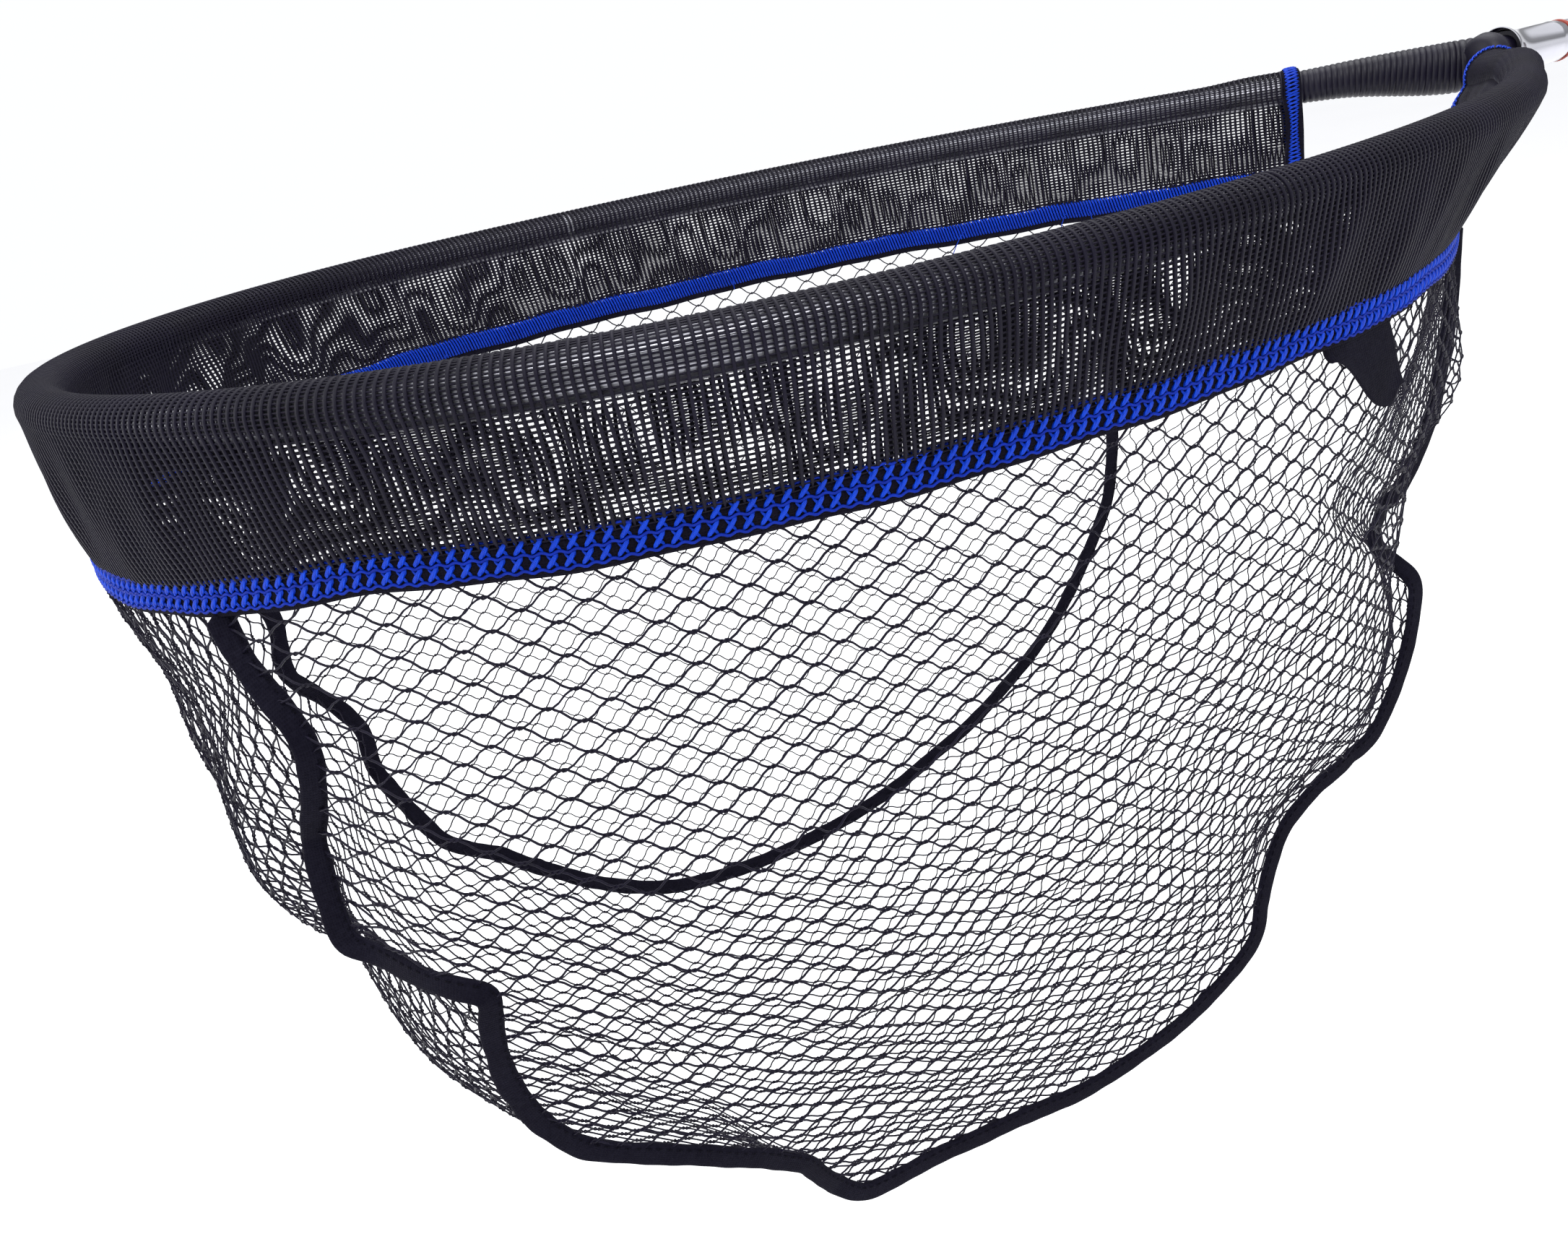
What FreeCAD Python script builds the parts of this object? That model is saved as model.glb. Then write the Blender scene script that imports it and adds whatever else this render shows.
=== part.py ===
"""Landing net with a telescopic handle, as a parametric document in millimetres.

The handle lies along +X with the net head at the -X end. +Z is up and the bag hangs down -Z.
The origin is the middle of the bare stretch of the outer handle tube, where a rest holds it.
"""
import FreeCAD, Part
import math
import os
import Sketcher
from FreeCAD import Placement, Rotation, Vector

doc = FreeCAD.newDocument("LandingNet")

# ---------------------------------------------------------------- driving dimensions
SIZES = {
    # hoop tube
    "hoop_tube_dia": 12.0, "hoop_tube_wall": 1.2, "tip_radius": 180.5, "tip_sweep": 80.0,
    "side_radius": 411.5, "arm_angle": 38.5, "tube_end_to_apex": 92.0,
    # yoke
    "arm_mouth_dia": 14.2, "arm_root_dia": 18.0, "spigot_length": 34.0, "stem_dia": 14.6,
    "arm_root_reach": 14.0, "web_thickness": 9.0, "web_reach": 34.0, "rivet_dia": 4.0,
    "stem_lead": 12.0, "stem_length": 34.0, "yoke_clearance": 0.4,
    # ferrule, stud and washer
    "ferrule_length": 36.0, "ferrule_dia": 17.2, "ferrule_wall": 1.0, "flare_dia": 29.0,
    "flare_length": 11.0, "apex_in_ferrule": 8.0, "stud_dia": 9.5, "stud_length": 36.0,
    "ferrule_floor": 3.0, "stud_reach": 17.0, "stud_chamfer": 0.9,
    "washer_thickness": 1.6, "washer_dia": 17.6,
    # handle tubes, each with its own front end measured from the origin
    "outer_tube_dia": 22.0, "mid_tube_dia": 19.0, "inner_tube_dia": 16.0, "handle_wall": 1.2,
    "outer_tube_length": 322.0, "mid_tube_length": 340.0, "inner_tube_length": 400.0,
    "bare_length": 90.0, "collar_length": 40.0, "collar_wall": 2.8, "collar_gap": 3.0,
    "collar_overlap": 15.0, "collet_wall": 1.4, "collet_nose": 21.0, "collar_lip": 2.5,
    "collet_lead": 4.0, "slit_length": 16.0, "slit_width": 1.4, "flute_radius": 1.5, "flute_centre": 0.5,
    "inner_bare_length": 50.0, "insert_length": 20.0, "bush_length": 8.0,
    "grip_dia": 30.0, "grip_length": 213.0, "grip_end_share": 0.367, "grip_butt_share": 0.62,
    "cap_length": 18.0, "cap_dia": 33.0,
    # sleeve, hem and bag
    "sleeve_thickness": 0.7, "sleeve_pinch": 0.7, "hem_drop": 37.7, "hem_height": 7.0, "hem_thickness": 2.4,
    "hem_inset": 5.0, "hem_arm_inset": 20.0, "hem_nose_radius": 16.0,
    "far_sleeve_end": 88.0, "near_sleeve_end": 44.0,
    "bag_depth": 302.8, "bag_thickness": 1.6, "seam_tip_setback": 29.2, "seam_neck_setback": 154.1,
    "seam_low_setback": 382.5, "seam_tip_half": 112.0, "seam_low_half": 103.0, "seam_neck_half": 92.0,
    "seam_exponent": 2.4, "panel_belly": 9.0, "gusset_bulge": 22.0,
    "tape_width": 3.4, "tape_thickness": 2.0, "seam_clearance": 1.2,
    "binding_width": 2.0, "binding_thickness": 2.4, "binding_top": 11.0,
    "tag_width": 24.0, "tag_length": 24.0, "tag_thickness": 1.2, "tag_setback": 216.1, "tag_inset": 6.5,
    # gaps
    "slide_gap": 0.3, "press_gap": 0.05, "cloth_gap": 0.5, "bush_gap": 0.1,
}
sheet = doc.addObject("Spreadsheet::Sheet", "Sizes")
for row, (alias, value) in enumerate(SIZES.items(), start=1):
    sheet.set(f"A{row}", alias)
    sheet.set(f"B{row}", str(value))
    sheet.setAlias(f"B{row}", alias)
doc.recompute()


class Size:
    """Reads one cell of the sheet by its alias, for pieces that are worked out point by point."""

    def __getattr__(self, alias):
        return float(sheet.get(alias))


size = Size()
parts = []

# Stations along the handle, as expressions on the sheet.
COLLAR_REAR = "(-Sizes.bare_length / 2)"
OUTER_FRONT = f"({COLLAR_REAR} - Sizes.collar_overlap)"
MID_COLLAR_REAR = f"({COLLAR_REAR} - Sizes.collar_length - Sizes.collar_gap)"
MID_FRONT = f"({MID_COLLAR_REAR} - Sizes.collar_overlap)"
INNER_FRONT = f"({MID_COLLAR_REAR} - Sizes.collar_length - Sizes.inner_bare_length)"
FERRULE_END = f"({INNER_FRONT} - Sizes.washer_thickness)"
FERRULE_MOUTH = f"({FERRULE_END} - Sizes.ferrule_length)"
GRIP_FRONT = "(Sizes.bare_length / 2)"

apex_x = -(size.bare_length / 2 + 2 * size.collar_length + size.collar_gap + size.inner_bare_length
           + size.washer_thickness + size.ferrule_length - size.apex_in_ferrule)


def keep(label, thing):
    """Names a finished sub-part, which is then exported under that name."""
    thing.Label = label
    parts.append(thing)
    return thing


def origin_plane(body, role):
    return next(f for f in body.Origin.OriginFeatures if f.Role == role)


def bind(sketch, constraint, expression):
    """Adds a dimension to a sketch and ties it to the sheet."""
    index = sketch.addConstraint(constraint)
    sketch.setExpression(f"Constraints[{index}]", expression)


def evaluate(expression):
    """The present value of an expression on the sheet, as a plain number."""
    return float(sheet.evalExpression(expression.replace("Sizes.", "")))


# ---------------------------------------------------------------- turned pieces
def turned(label, start, profile):
    """A body turned about X: profile is a closed outline of (distance along X, radius) expressions."""
    body = doc.addObject("PartDesign::Body", label)
    sketch = body.newObject("Sketcher::SketchObject", label + "_profile")
    sketch.AttachmentSupport = [(origin_plane(body, "XY_Plane"), "")]
    sketch.MapMode = "FlatFace"
    points = [Vector(evaluate(along), evaluate(radius), 0) for along, radius in profile]
    count = len(points)
    for index in range(count):
        sketch.addGeometry(Part.LineSegment(points[index], points[(index + 1) % count]))
    for index in range(count):
        sketch.addConstraint(Sketcher.Constraint("Coincident", index, 2, (index + 1) % count, 1))
    for index, (along, radius) in enumerate(profile):
        if points[index].x == 0:
            sketch.addConstraint(Sketcher.Constraint("PointOnObject", index, 1, -2))
        else:
            bind(sketch, Sketcher.Constraint("DistanceX", -1, 1, index, 1, points[index].x), along)
        if points[index].y == 0:
            sketch.addConstraint(Sketcher.Constraint("PointOnObject", index, 1, -1))
        else:
            bind(sketch, Sketcher.Constraint("DistanceY", -1, 1, index, 1, points[index].y), radius)
    turn = body.newObject("PartDesign::Revolution", label + "_turn")
    turn.Profile = sketch
    turn.ReferenceAxis = (sketch, ["H_Axis"])
    turn.Angle = 360
    body.setExpression(".Placement.Base.x", start)
    return keep(label, body)


def plain_tube(label, start, length, outer_dia, wall):
    outer = f"{outer_dia} / 2"
    bore = f"{outer_dia} / 2 - {wall}"
    return turned(label, start, [("0", bore), ("0", outer), (length, outer), (length, bore)])


def handle_tubes():
    wall = "Sizes.handle_wall"
    for name, front in (("outer", OUTER_FRONT), ("mid", MID_FRONT), ("inner", INNER_FRONT)):
        plain_tube(f"{name}_tube", front, f"Sizes.{name}_tube_length", f"Sizes.{name}_tube_dia", wall)
    for name, front, around in (("mid", MID_FRONT, "outer"), ("inner", INNER_FRONT, "mid")):
        bore = f"(Sizes.{name}_tube_dia / 2 - {wall})"
        rim = f"(Sizes.{around}_tube_dia / 2 - {wall} - Sizes.bush_gap)"
        turned(f"{name}_guide_bush", f"{front} + Sizes.{name}_tube_length",
               [("0", bore), ("0", rim), ("Sizes.bush_length", rim), ("Sizes.bush_length", bore)])


def twist_lock(name, tube, sliding, collar_rear):
    """A split collet on a tube's front end, and the ribbed collar that closes it on the sliding tube."""
    seat = f"(Sizes.{tube}_tube_dia / 2 + Sizes.press_gap)"
    grip = f"(Sizes.{sliding}_tube_dia / 2 + Sizes.slide_gap)"
    barrel = f"({seat} + Sizes.collet_wall)"
    tail = "(Sizes.collet_nose + Sizes.collar_overlap - Sizes.collar_lip - Sizes.slide_gap)"
    collet = turned(f"{name}_collet", f"{collar_rear} - Sizes.collar_overlap - Sizes.collet_nose", [
        ("0", grip), ("0", f"({barrel} - 1)"), ("Sizes.collet_lead", barrel), (tail, barrel), (tail, seat),
        ("Sizes.collet_nose", seat), ("Sizes.collet_nose", grip)])
    slit = collet.newObject("Sketcher::SketchObject", f"{name}_collet_slit")
    slit.AttachmentSupport = [(origin_plane(collet, "XY_Plane"), "")]
    slit.MapMode = "FlatFace"
    half, reach, lead = size.slit_width / 2, size.slit_length, -2.0
    corners = [Vector(lead, -half, 0), Vector(reach, -half, 0), Vector(reach, half, 0), Vector(lead, half, 0)]
    for index in range(4):
        slit.addGeometry(Part.LineSegment(corners[index], corners[(index + 1) % 4]))
    cut = collet.newObject("PartDesign::Pocket", f"{name}_collet_slots")
    cut.Profile = slit
    cut.Type = "ThroughAll"
    cut.Midplane = True
    slots = collet.newObject("PartDesign::PolarPattern", f"{name}_collet_slot_ring")
    slots.Originals = [cut]
    slots.Axis = (slit, ["H_Axis"])
    slots.Angle = 90
    slots.Occurrences = 2
    collet.Tip = slots

    chamber = f"({barrel} + Sizes.slide_gap)"
    skin = f"({chamber} + Sizes.collar_wall)"
    mouth = f"({grip} + Sizes.bush_gap)"
    lip = f"({seat} + Sizes.slide_gap)"
    front, rear = "Sizes.collar_lip", "(Sizes.collar_length - Sizes.collar_lip)"
    collar = turned(f"{name}_lock_collar", f"{collar_rear} - Sizes.collar_length", [
        ("0", mouth), ("0", f"({skin} - 1.4)"), ("1.4", skin), ("(Sizes.collar_length - 1)", skin),
        ("Sizes.collar_length", f"({skin} - 1)"), ("Sizes.collar_length", lip), (rear, lip),
        (rear, chamber), (front, chamber), (front, mouth)])
    groove = collar.newObject("Sketcher::SketchObject", f"{name}_collar_groove")
    groove.AttachmentSupport = [(origin_plane(collar, "YZ_Plane"), "")]
    groove.MapMode = "FlatFace"
    flute_out = evaluate(skin) + size.flute_centre
    groove.addGeometry(Part.Circle(Vector(flute_out, 0, 0), Vector(0, 0, 1), size.flute_radius))
    groove.addConstraint(Sketcher.Constraint("PointOnObject", 0, 3, -1))
    bind(groove, Sketcher.Constraint("DistanceX", -1, 1, 0, 3, flute_out), f"{skin} + Sizes.flute_centre")
    bind(groove, Sketcher.Constraint("Radius", 0, size.flute_radius), "Sizes.flute_radius")
    flute = collar.newObject("PartDesign::Pocket", f"{name}_collar_flute")
    flute.Profile = groove
    flute.Type = "ThroughAll"
    flute.Midplane = True
    flutes = collar.newObject("PartDesign::PolarPattern", f"{name}_collar_flutes")
    flutes.Originals = [flute]
    flutes.Axis = (groove, ["N_Axis"])
    flutes.Angle = 360
    flutes.Occurrences = 20
    collar.Tip = flutes


def handle_ends():
    bore = "(Sizes.outer_tube_dia / 2 + Sizes.press_gap)"
    skin = "(Sizes.grip_dia / 2)"
    length = "Sizes.grip_length"
    turned("foam_grip", GRIP_FRONT, [
        ("0", bore), ("0", f"({bore} + ({skin} - {bore}) * Sizes.grip_end_share)"), ("2.5", skin),
        (f"({length} - 1.5)", skin), (length, f"({bore} + ({skin} - {bore}) * Sizes.grip_butt_share)"),
        (length, bore)])
    rim = "(Sizes.cap_dia / 2)"
    pocket = f"({OUTER_FRONT} + Sizes.outer_tube_length - {GRIP_FRONT} - {length})"
    turned("butt_cap", f"{GRIP_FRONT} + {length}", [
        ("0", bore), ("0", f"({rim} - 1)"), ("1", rim), ("(Sizes.cap_length - 4)", rim),
        ("Sizes.cap_length", f"({rim} - 4)"), ("Sizes.cap_length", "0"), (pocket, "0"), (pocket, bore)])


def head_fixing():
    """The chrome ferrule, the stud that screws into the handle, its insert and the fibre washer."""
    wall = "Sizes.ferrule_wall"
    barrel = "(Sizes.ferrule_dia / 2)"
    flare = "(Sizes.flare_dia / 2)"
    hole = "(Sizes.stud_dia / 2 + Sizes.press_gap)"
    long, neck = "Sizes.ferrule_length", "Sizes.flare_length"
    mid_flare = f"({barrel} + ({flare} - {barrel}) * 0.32)"
    floor = f"({long} - Sizes.ferrule_floor)"
    turned("ferrule", FERRULE_MOUTH, [
        ("0", f"({flare} - {wall})"), ("0", flare), (f"({neck} * 0.18)", f"({flare} - 0.3)"),
        (f"({neck} * 0.55)", mid_flare), (neck, barrel), (f"({long} - 1.2)", barrel),
        (long, f"({barrel} - 0.8)"), (long, hole), (floor, hole),
        (floor, f"({barrel} - {wall})"), (neck, f"({barrel} - {wall})"),
        (f"({neck} * 0.5)", f"({mid_flare} - {wall})"),
        (f"({neck} * 0.14)", f"({flare} - 0.3 - {wall})")])
    turned("fibre_washer", FERRULE_END, [
        ("0", "(Sizes.stud_dia / 2 + 0.3)"), ("0", "Sizes.washer_dia / 2"),
        ("Sizes.washer_thickness", "Sizes.washer_dia / 2"),
        ("Sizes.washer_thickness", "(Sizes.stud_dia / 2 + 0.3)")])
    stud = "(Sizes.stud_dia / 2)"
    tip = f"({stud} - Sizes.stud_chamfer)"
    turned("threaded_stud", f"{INNER_FRONT} + Sizes.stud_reach - Sizes.stud_length", [
        ("0", "0"), ("0", tip), ("Sizes.stud_chamfer", stud),
        ("(Sizes.stud_length - Sizes.stud_chamfer)", stud), ("Sizes.stud_length", tip),
        ("Sizes.stud_length", "0")])
    rim = "(Sizes.inner_tube_dia / 2 - Sizes.handle_wall - Sizes.press_gap)"
    turned("threaded_insert", INNER_FRONT, [
        ("0", hole), ("0", rim), ("Sizes.insert_length", rim), ("Sizes.insert_length", hole)])


# ---------------------------------------------------------------- hoop tube
def hoop_points():
    """Joints of the hoop's centre line on the +Y side, with the apex of its arms on the X axis."""
    sweep, arm = math.radians(size.tip_sweep), math.radians(size.arm_angle)
    lean = math.pi / 2 - sweep
    tip_joint = Vector(size.tip_radius * (1 - math.cos(sweep)), size.tip_radius * math.sin(sweep), 0)
    side_centre = tip_joint + size.side_radius * Vector(math.sin(lean), -math.cos(lean), 0)
    arm_joint = side_centre + size.side_radius * Vector(math.sin(arm), math.cos(arm), 0)
    shift = Vector(apex_x - arm_joint.x - arm_joint.y / math.tan(arm), 0, 0)
    reach = size.tube_end_to_apex
    end = Vector(apex_x - reach * math.cos(arm), reach * math.sin(arm), 0)
    tip_centre = Vector(size.tip_radius, 0, 0) + shift
    return tip_joint + shift, side_centre + shift, arm_joint + shift, end, tip_centre


def mirrored(point):
    return Vector(point.x, -point.y, point.z)


def arc_between(first, last, centre, radius):
    middle = (first + last) * 0.5 - centre
    middle.normalize()
    return first, centre + middle * radius, last


def hoop_tube():
    tip_joint, side_centre, arm_joint, end, tip_centre = hoop_points()
    body = doc.addObject("PartDesign::Body", "hoop_tube")
    path = body.newObject("Sketcher::SketchObject", "hoop_path")
    path.AttachmentSupport = [(origin_plane(body, "XY_Plane"), "")]
    path.MapMode = "FlatFace"

    def arc(first, last, centre, radius):
        return Part.Arc(*arc_between(first, last, centre, radius))

    path.addGeometry(Part.LineSegment(end, arm_joint))
    path.addGeometry(arc(arm_joint, tip_joint, side_centre, size.side_radius))
    tip = Vector(tip_centre.x - size.tip_radius, 0, 0)
    path.addGeometry(Part.Arc(tip_joint, tip, mirrored(tip_joint)))
    path.addGeometry(arc(mirrored(tip_joint), mirrored(arm_joint), mirrored(side_centre), size.side_radius))
    path.addGeometry(Part.LineSegment(mirrored(arm_joint), mirrored(end)))
    bind(path, Sketcher.Constraint("Radius", 1, size.side_radius), "Sizes.side_radius")
    bind(path, Sketcher.Constraint("Radius", 2, size.tip_radius), "Sizes.tip_radius")
    bind(path, Sketcher.Constraint("Radius", 3, size.side_radius), "Sizes.side_radius")
    profile = body.newObject("Sketcher::SketchObject", "hoop_section")
    profile.AttachmentSupport = [(path, "Edge1")]
    profile.MapMode = "NormalToEdge"
    for radius in (size.hoop_tube_dia / 2, size.hoop_tube_dia / 2 - size.hoop_tube_wall):
        profile.addGeometry(Part.Circle(Vector(0, 0, 0), Vector(0, 0, 1), radius))
    skins = ("Sizes.hoop_tube_dia / 2", "Sizes.hoop_tube_dia / 2 - Sizes.hoop_tube_wall")
    for index, radius in enumerate(skins):
        profile.addConstraint(Sketcher.Constraint("Coincident", index, 3, -1, 1))
        bind(profile, Sketcher.Constraint("Radius", index, 5.0), radius)
    pipe = body.newObject("PartDesign::AdditivePipe", "hoop_bend")
    pipe.Profile = profile
    pipe.Spine = (path, ["Edge1", "Edge2", "Edge3", "Edge4", "Edge5"])
    doc.recompute()
    holes = body.newObject("Sketcher::SketchObject", "rivet_holes")
    holes.AttachmentSupport = [(origin_plane(body, "XY_Plane"), "")]
    holes.MapMode = "FlatFace"
    for centre in rivet_centres():
        holes.addGeometry(Part.Circle(centre, Vector(0, 0, 1), size.rivet_dia / 2 + size.press_gap))
    drill = body.newObject("PartDesign::Pocket", "rivet_drill")
    drill.Profile = holes
    drill.Type = "ThroughAll"
    drill.Midplane = True
    return keep("hoop_tube", body)


def along_arm(distance, side):
    """A point on an arm's centre line, this far from the apex; side is -1 near and +1 far."""
    arm = math.radians(size.arm_angle)
    return Vector(apex_x - distance * math.cos(arm), side * distance * math.sin(arm), 0)


def rivet_centres():
    return [along_arm(size.tube_end_to_apex + size.spigot_length / 2, side) for side in (-1, 1)]


# ---------------------------------------------------------------- yoke
def yoke():
    """Two tapered arms with spigots for the tube ends, a web between them and a stem for the ferrule."""
    pieces = []
    for side, word in ((-1, "near"), (1, "far")):
        turn = Rotation(Vector(0, 0, 1), 180 - side * size.arm_angle)
        lean = Rotation(Vector(0, 1, 0), 90)
        arm = doc.addObject("Part::Cone", f"yoke_arm_{word}")
        arm.Placement = Placement(along_arm(size.arm_root_reach, side), turn.multiply(lean))
        arm.setExpression("Radius1", "Sizes.arm_root_dia / 2")
        arm.setExpression("Radius2", "Sizes.arm_mouth_dia / 2")
        arm.setExpression("Height", "Sizes.tube_end_to_apex - Sizes.arm_root_reach")
        spigot = doc.addObject("Part::Cylinder", f"yoke_spigot_{word}")
        spigot.Placement = Placement(along_arm(size.tube_end_to_apex - 1, side), turn.multiply(lean))
        spigot.setExpression("Radius", "Sizes.hoop_tube_dia / 2 - Sizes.hoop_tube_wall - Sizes.press_gap")
        spigot.setExpression("Height", "Sizes.spigot_length + 1")
        pieces += [arm, spigot]
    # The web is a wedge that widens from the crotch towards the bag.
    web = doc.addObject("Part::Wedge", "yoke_web")
    half = size.web_reach * math.sin(math.radians(size.arm_angle))
    web.Xmin, web.Xmax, web.X2min, web.X2max = -half, half, -1.0, 1.0
    web.Zmin, web.Z2min = -size.web_thickness / 2, -size.web_thickness / 2
    web.Zmax, web.Z2max = size.web_thickness / 2, size.web_thickness / 2
    web.Ymin, web.Ymax = 0, size.web_reach * math.cos(math.radians(size.arm_angle)) - 1
    web.Placement = Placement(Vector(along_arm(size.web_reach, 1).x, 0, 0), Rotation(Vector(0, 0, 1), -90))
    arms = doc.addObject("Part::MultiFuse", "yoke_arms")
    arms.Shapes = pieces + [web]
    # Everything behind the ferrule's mouth is trimmed away, and the stem passes through it.
    trim = doc.addObject("Part::Box", "yoke_front_trim")
    trim.Length = trim.Width = trim.Height = 4 * size.tube_end_to_apex
    trim.Placement.Base = Vector(0, -2 * size.tube_end_to_apex, -2 * size.tube_end_to_apex)
    trim.setExpression(".Placement.Base.x",
                       f"{FERRULE_MOUTH} - Sizes.yoke_clearance - 4 * Sizes.tube_end_to_apex")
    front = doc.addObject("Part::Common", "yoke_front")
    front.Base, front.Tool = arms, trim
    stem = doc.addObject("Part::Cylinder", "yoke_stem")
    stem.Placement = Placement(Vector(0, 0, 0), Rotation(Vector(0, 1, 0), 90))
    stem.setExpression("Radius", "Sizes.stem_dia / 2")
    stem.setExpression("Height", "Sizes.stem_length")
    stem.setExpression(".Placement.Base.x", f"{FERRULE_MOUTH} - Sizes.stem_lead")
    whole = doc.addObject("Part::MultiFuse", "yoke_whole")
    whole.Shapes = [front, stem]
    tools = []
    for centre, word in zip(rivet_centres(), ("near", "far")):
        drill = doc.addObject("Part::Cylinder", f"yoke_rivet_hole_{word}")
        drill.Placement.Base = centre - Vector(0, 0, size.arm_root_dia)
        drill.Height = 2 * size.arm_root_dia
        drill.setExpression("Radius", "Sizes.rivet_dia / 2 + Sizes.press_gap")
        tools.append(drill)
    socket = doc.addObject("Part::Cylinder", "yoke_stud_socket")
    socket.Placement = Placement(Vector(0, 0, 0), Rotation(Vector(0, 1, 0), 90))
    socket.setExpression("Radius", "Sizes.stud_dia / 2 + Sizes.press_gap")
    socket.setExpression("Height", "Sizes.stud_length + Sizes.ferrule_length")
    socket.setExpression(".Placement.Base.x",
                         f"{INNER_FRONT} + Sizes.stud_reach - Sizes.slide_gap - Sizes.stud_length")
    bores = doc.addObject("Part::MultiFuse", "yoke_bores")
    bores.Shapes = tools + [socket]
    body = doc.addObject("Part::Cut", "yoke")
    body.Base, body.Tool = whole, bores
    keep("yoke", body)
    for centre, word in zip(rivet_centres(), ("near", "far")):
        rivet = doc.addObject("Part::Cylinder", f"hoop_rivet_{word}")
        rivet.Placement.Base = centre
        rivet.setExpression("Radius", "Sizes.rivet_dia / 2")
        rivet.setExpression("Height", "Sizes.hoop_tube_dia")
        rivet.setExpression(".Placement.Base.z", "-Sizes.hoop_tube_dia / 2")
        keep(f"hoop_rivet_{word}", rivet)


# ---------------------------------------------------------------- soft pieces
def hoop_at(distance):
    """Point and outward normal on the hoop's centre line, this far from the tip along the +Y side."""
    tip_joint, side_centre, arm_joint, end, tip_centre = hoop_points()
    sweep, arm = math.radians(size.tip_sweep), math.radians(size.arm_angle)
    tip_run = size.tip_radius * sweep
    side_run = size.side_radius * (math.pi / 2 - sweep + arm)
    if distance < tip_run:
        heading = math.pi / 2 - distance / size.tip_radius
        normal = Vector(-math.sin(heading), math.cos(heading), 0)
        return tip_centre + normal * size.tip_radius, normal
    if distance < tip_run + side_run:
        heading = math.pi / 2 - sweep - (distance - tip_run) / size.side_radius
        normal = Vector(-math.sin(heading), math.cos(heading), 0)
        return side_centre + normal * size.side_radius, normal
    normal = Vector(math.sin(arm), math.cos(arm), 0)
    step = distance - tip_run - side_run
    return arm_joint + Vector(math.cos(arm), -math.sin(arm), 0) * step, normal


def half_length():
    """Length of the centre line from the tip to the apex of the arms."""
    _, _, arm_joint, _, _ = hoop_points()
    arm = math.radians(size.arm_angle)
    return (size.tip_radius * math.radians(size.tip_sweep)
            + size.side_radius * (math.pi / 2 - math.radians(size.tip_sweep) + arm)
            + arm_joint.y / math.sin(arm))


def smooth(value, low, high):
    share = min(1.0, max(0.0, (value - low) / (high - low)))
    return share * share * (3 - 2 * share)


def hem_inset_at(distance):
    """The hem hangs a little inside the hoop, and further in along the arms."""
    total = half_length()
    share = smooth(distance, total * 0.45, total * 0.8)
    return size.hem_inset + (size.hem_arm_inset - size.hem_inset) * share


def hem_half():
    """Plan of the hem on the +Y side, from the tip to the rounded nose at the neck."""
    arm = math.radians(size.arm_angle)
    nose = size.hem_nose_radius
    points, total = [], half_length()
    for step in range(121):
        place, normal = hoop_at(total * step / 120)
        point = place - normal * hem_inset_at(total * step / 120)
        if step > 60 and point.y < nose * math.cos(arm):
            break
        points.append(point)
    last = points[-1]
    nose_x = last.x + (last.y - nose * math.cos(arm)) / math.tan(arm) - nose * math.sin(arm)
    for step in range(7):
        angle = (math.pi / 2 - arm) * (1 - step / 6)
        points.append(Vector(nose_x + nose * math.cos(angle), nose * math.sin(angle), 0))
    return points


def resample(points, count):
    """This many points evenly spaced along a run of straight pieces."""
    lengths = [0.0]
    for first, second in zip(points, points[1:]):
        lengths.append(lengths[-1] + (second - first).Length)
    result, index = [], 0
    for step in range(count):
        goal = lengths[-1] * step / (count - 1)
        while index < len(points) - 2 and lengths[index + 1] < goal:
            index += 1
        span = lengths[index + 1] - lengths[index]
        share = (goal - lengths[index]) / span if span else 0.0
        result.append(points[index] + (points[index + 1] - points[index]) * share)
    return result


def rim_face(first, second, flat):
    """The strip that closes a skin's edge: one flat face where the edge is plane, else a ruled one."""
    first_edge, second_edge = first.toShape(), second.toShape()
    if not flat:
        return Part.makeRuledSurface(first_edge, second_edge)
    ends = [Part.makeLine(a.Point, b.Point) for a, b in zip(first_edge.Vertexes, second_edge.Vertexes)]
    return Part.Face(Part.Wire(Part.sortEdges([first_edge, second_edge] + ends)[0]))


def skin(outer, inner, flat_ends):
    """A closed solid between two matching grids of points, with a smooth face on each grid."""
    surfaces = []
    for grid in (outer, inner):
        surface = Part.BSplineSurface()
        surface.interpolate(grid)
        surfaces.append(surface)
    faces = [surface.toShape() for surface in surfaces]
    (u0, u1, v0, v1), (s0, s1, t0, t1) = surfaces[0].bounds(), surfaces[1].bounds()
    for near, far in ((u0, s0), (u1, s1)):
        faces.append(rim_face(surfaces[0].uIso(near), surfaces[1].uIso(far), flat_ends))
    for near, far in ((v0, t0), (v1, t1)):
        faces.append(rim_face(surfaces[0].vIso(near), surfaces[1].vIso(far), False))
    shell = Part.makeShell(faces)
    shell.sewShape()
    solid = Part.makeSolid(shell)
    if solid.Volume < 0:
        shell.reverse()
        solid = Part.makeSolid(shell)
    return solid


def soft(label, outer, inner, flat_ends=False):
    piece = doc.addObject("Part::Feature", label)
    piece.Shape = skin(outer, inner, flat_ends)
    return keep(label, piece)


def inward(grid, thickness):
    """The grid moved along its own normal, towards the left of its rows."""
    rows, columns = len(grid), len(grid[0])
    moved = []
    for row in range(rows):
        line = []
        for column in range(columns):
            down = grid[min(row + 1, rows - 1)][column] - grid[max(row - 1, 0)][column]
            across = grid[row][min(column + 1, columns - 1)] - grid[row][max(column - 1, 0)]
            normal = down.cross(across)
            normal.normalize()
            line.append(grid[row][column] + normal * thickness)
        moved.append(line)
    return moved


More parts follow.
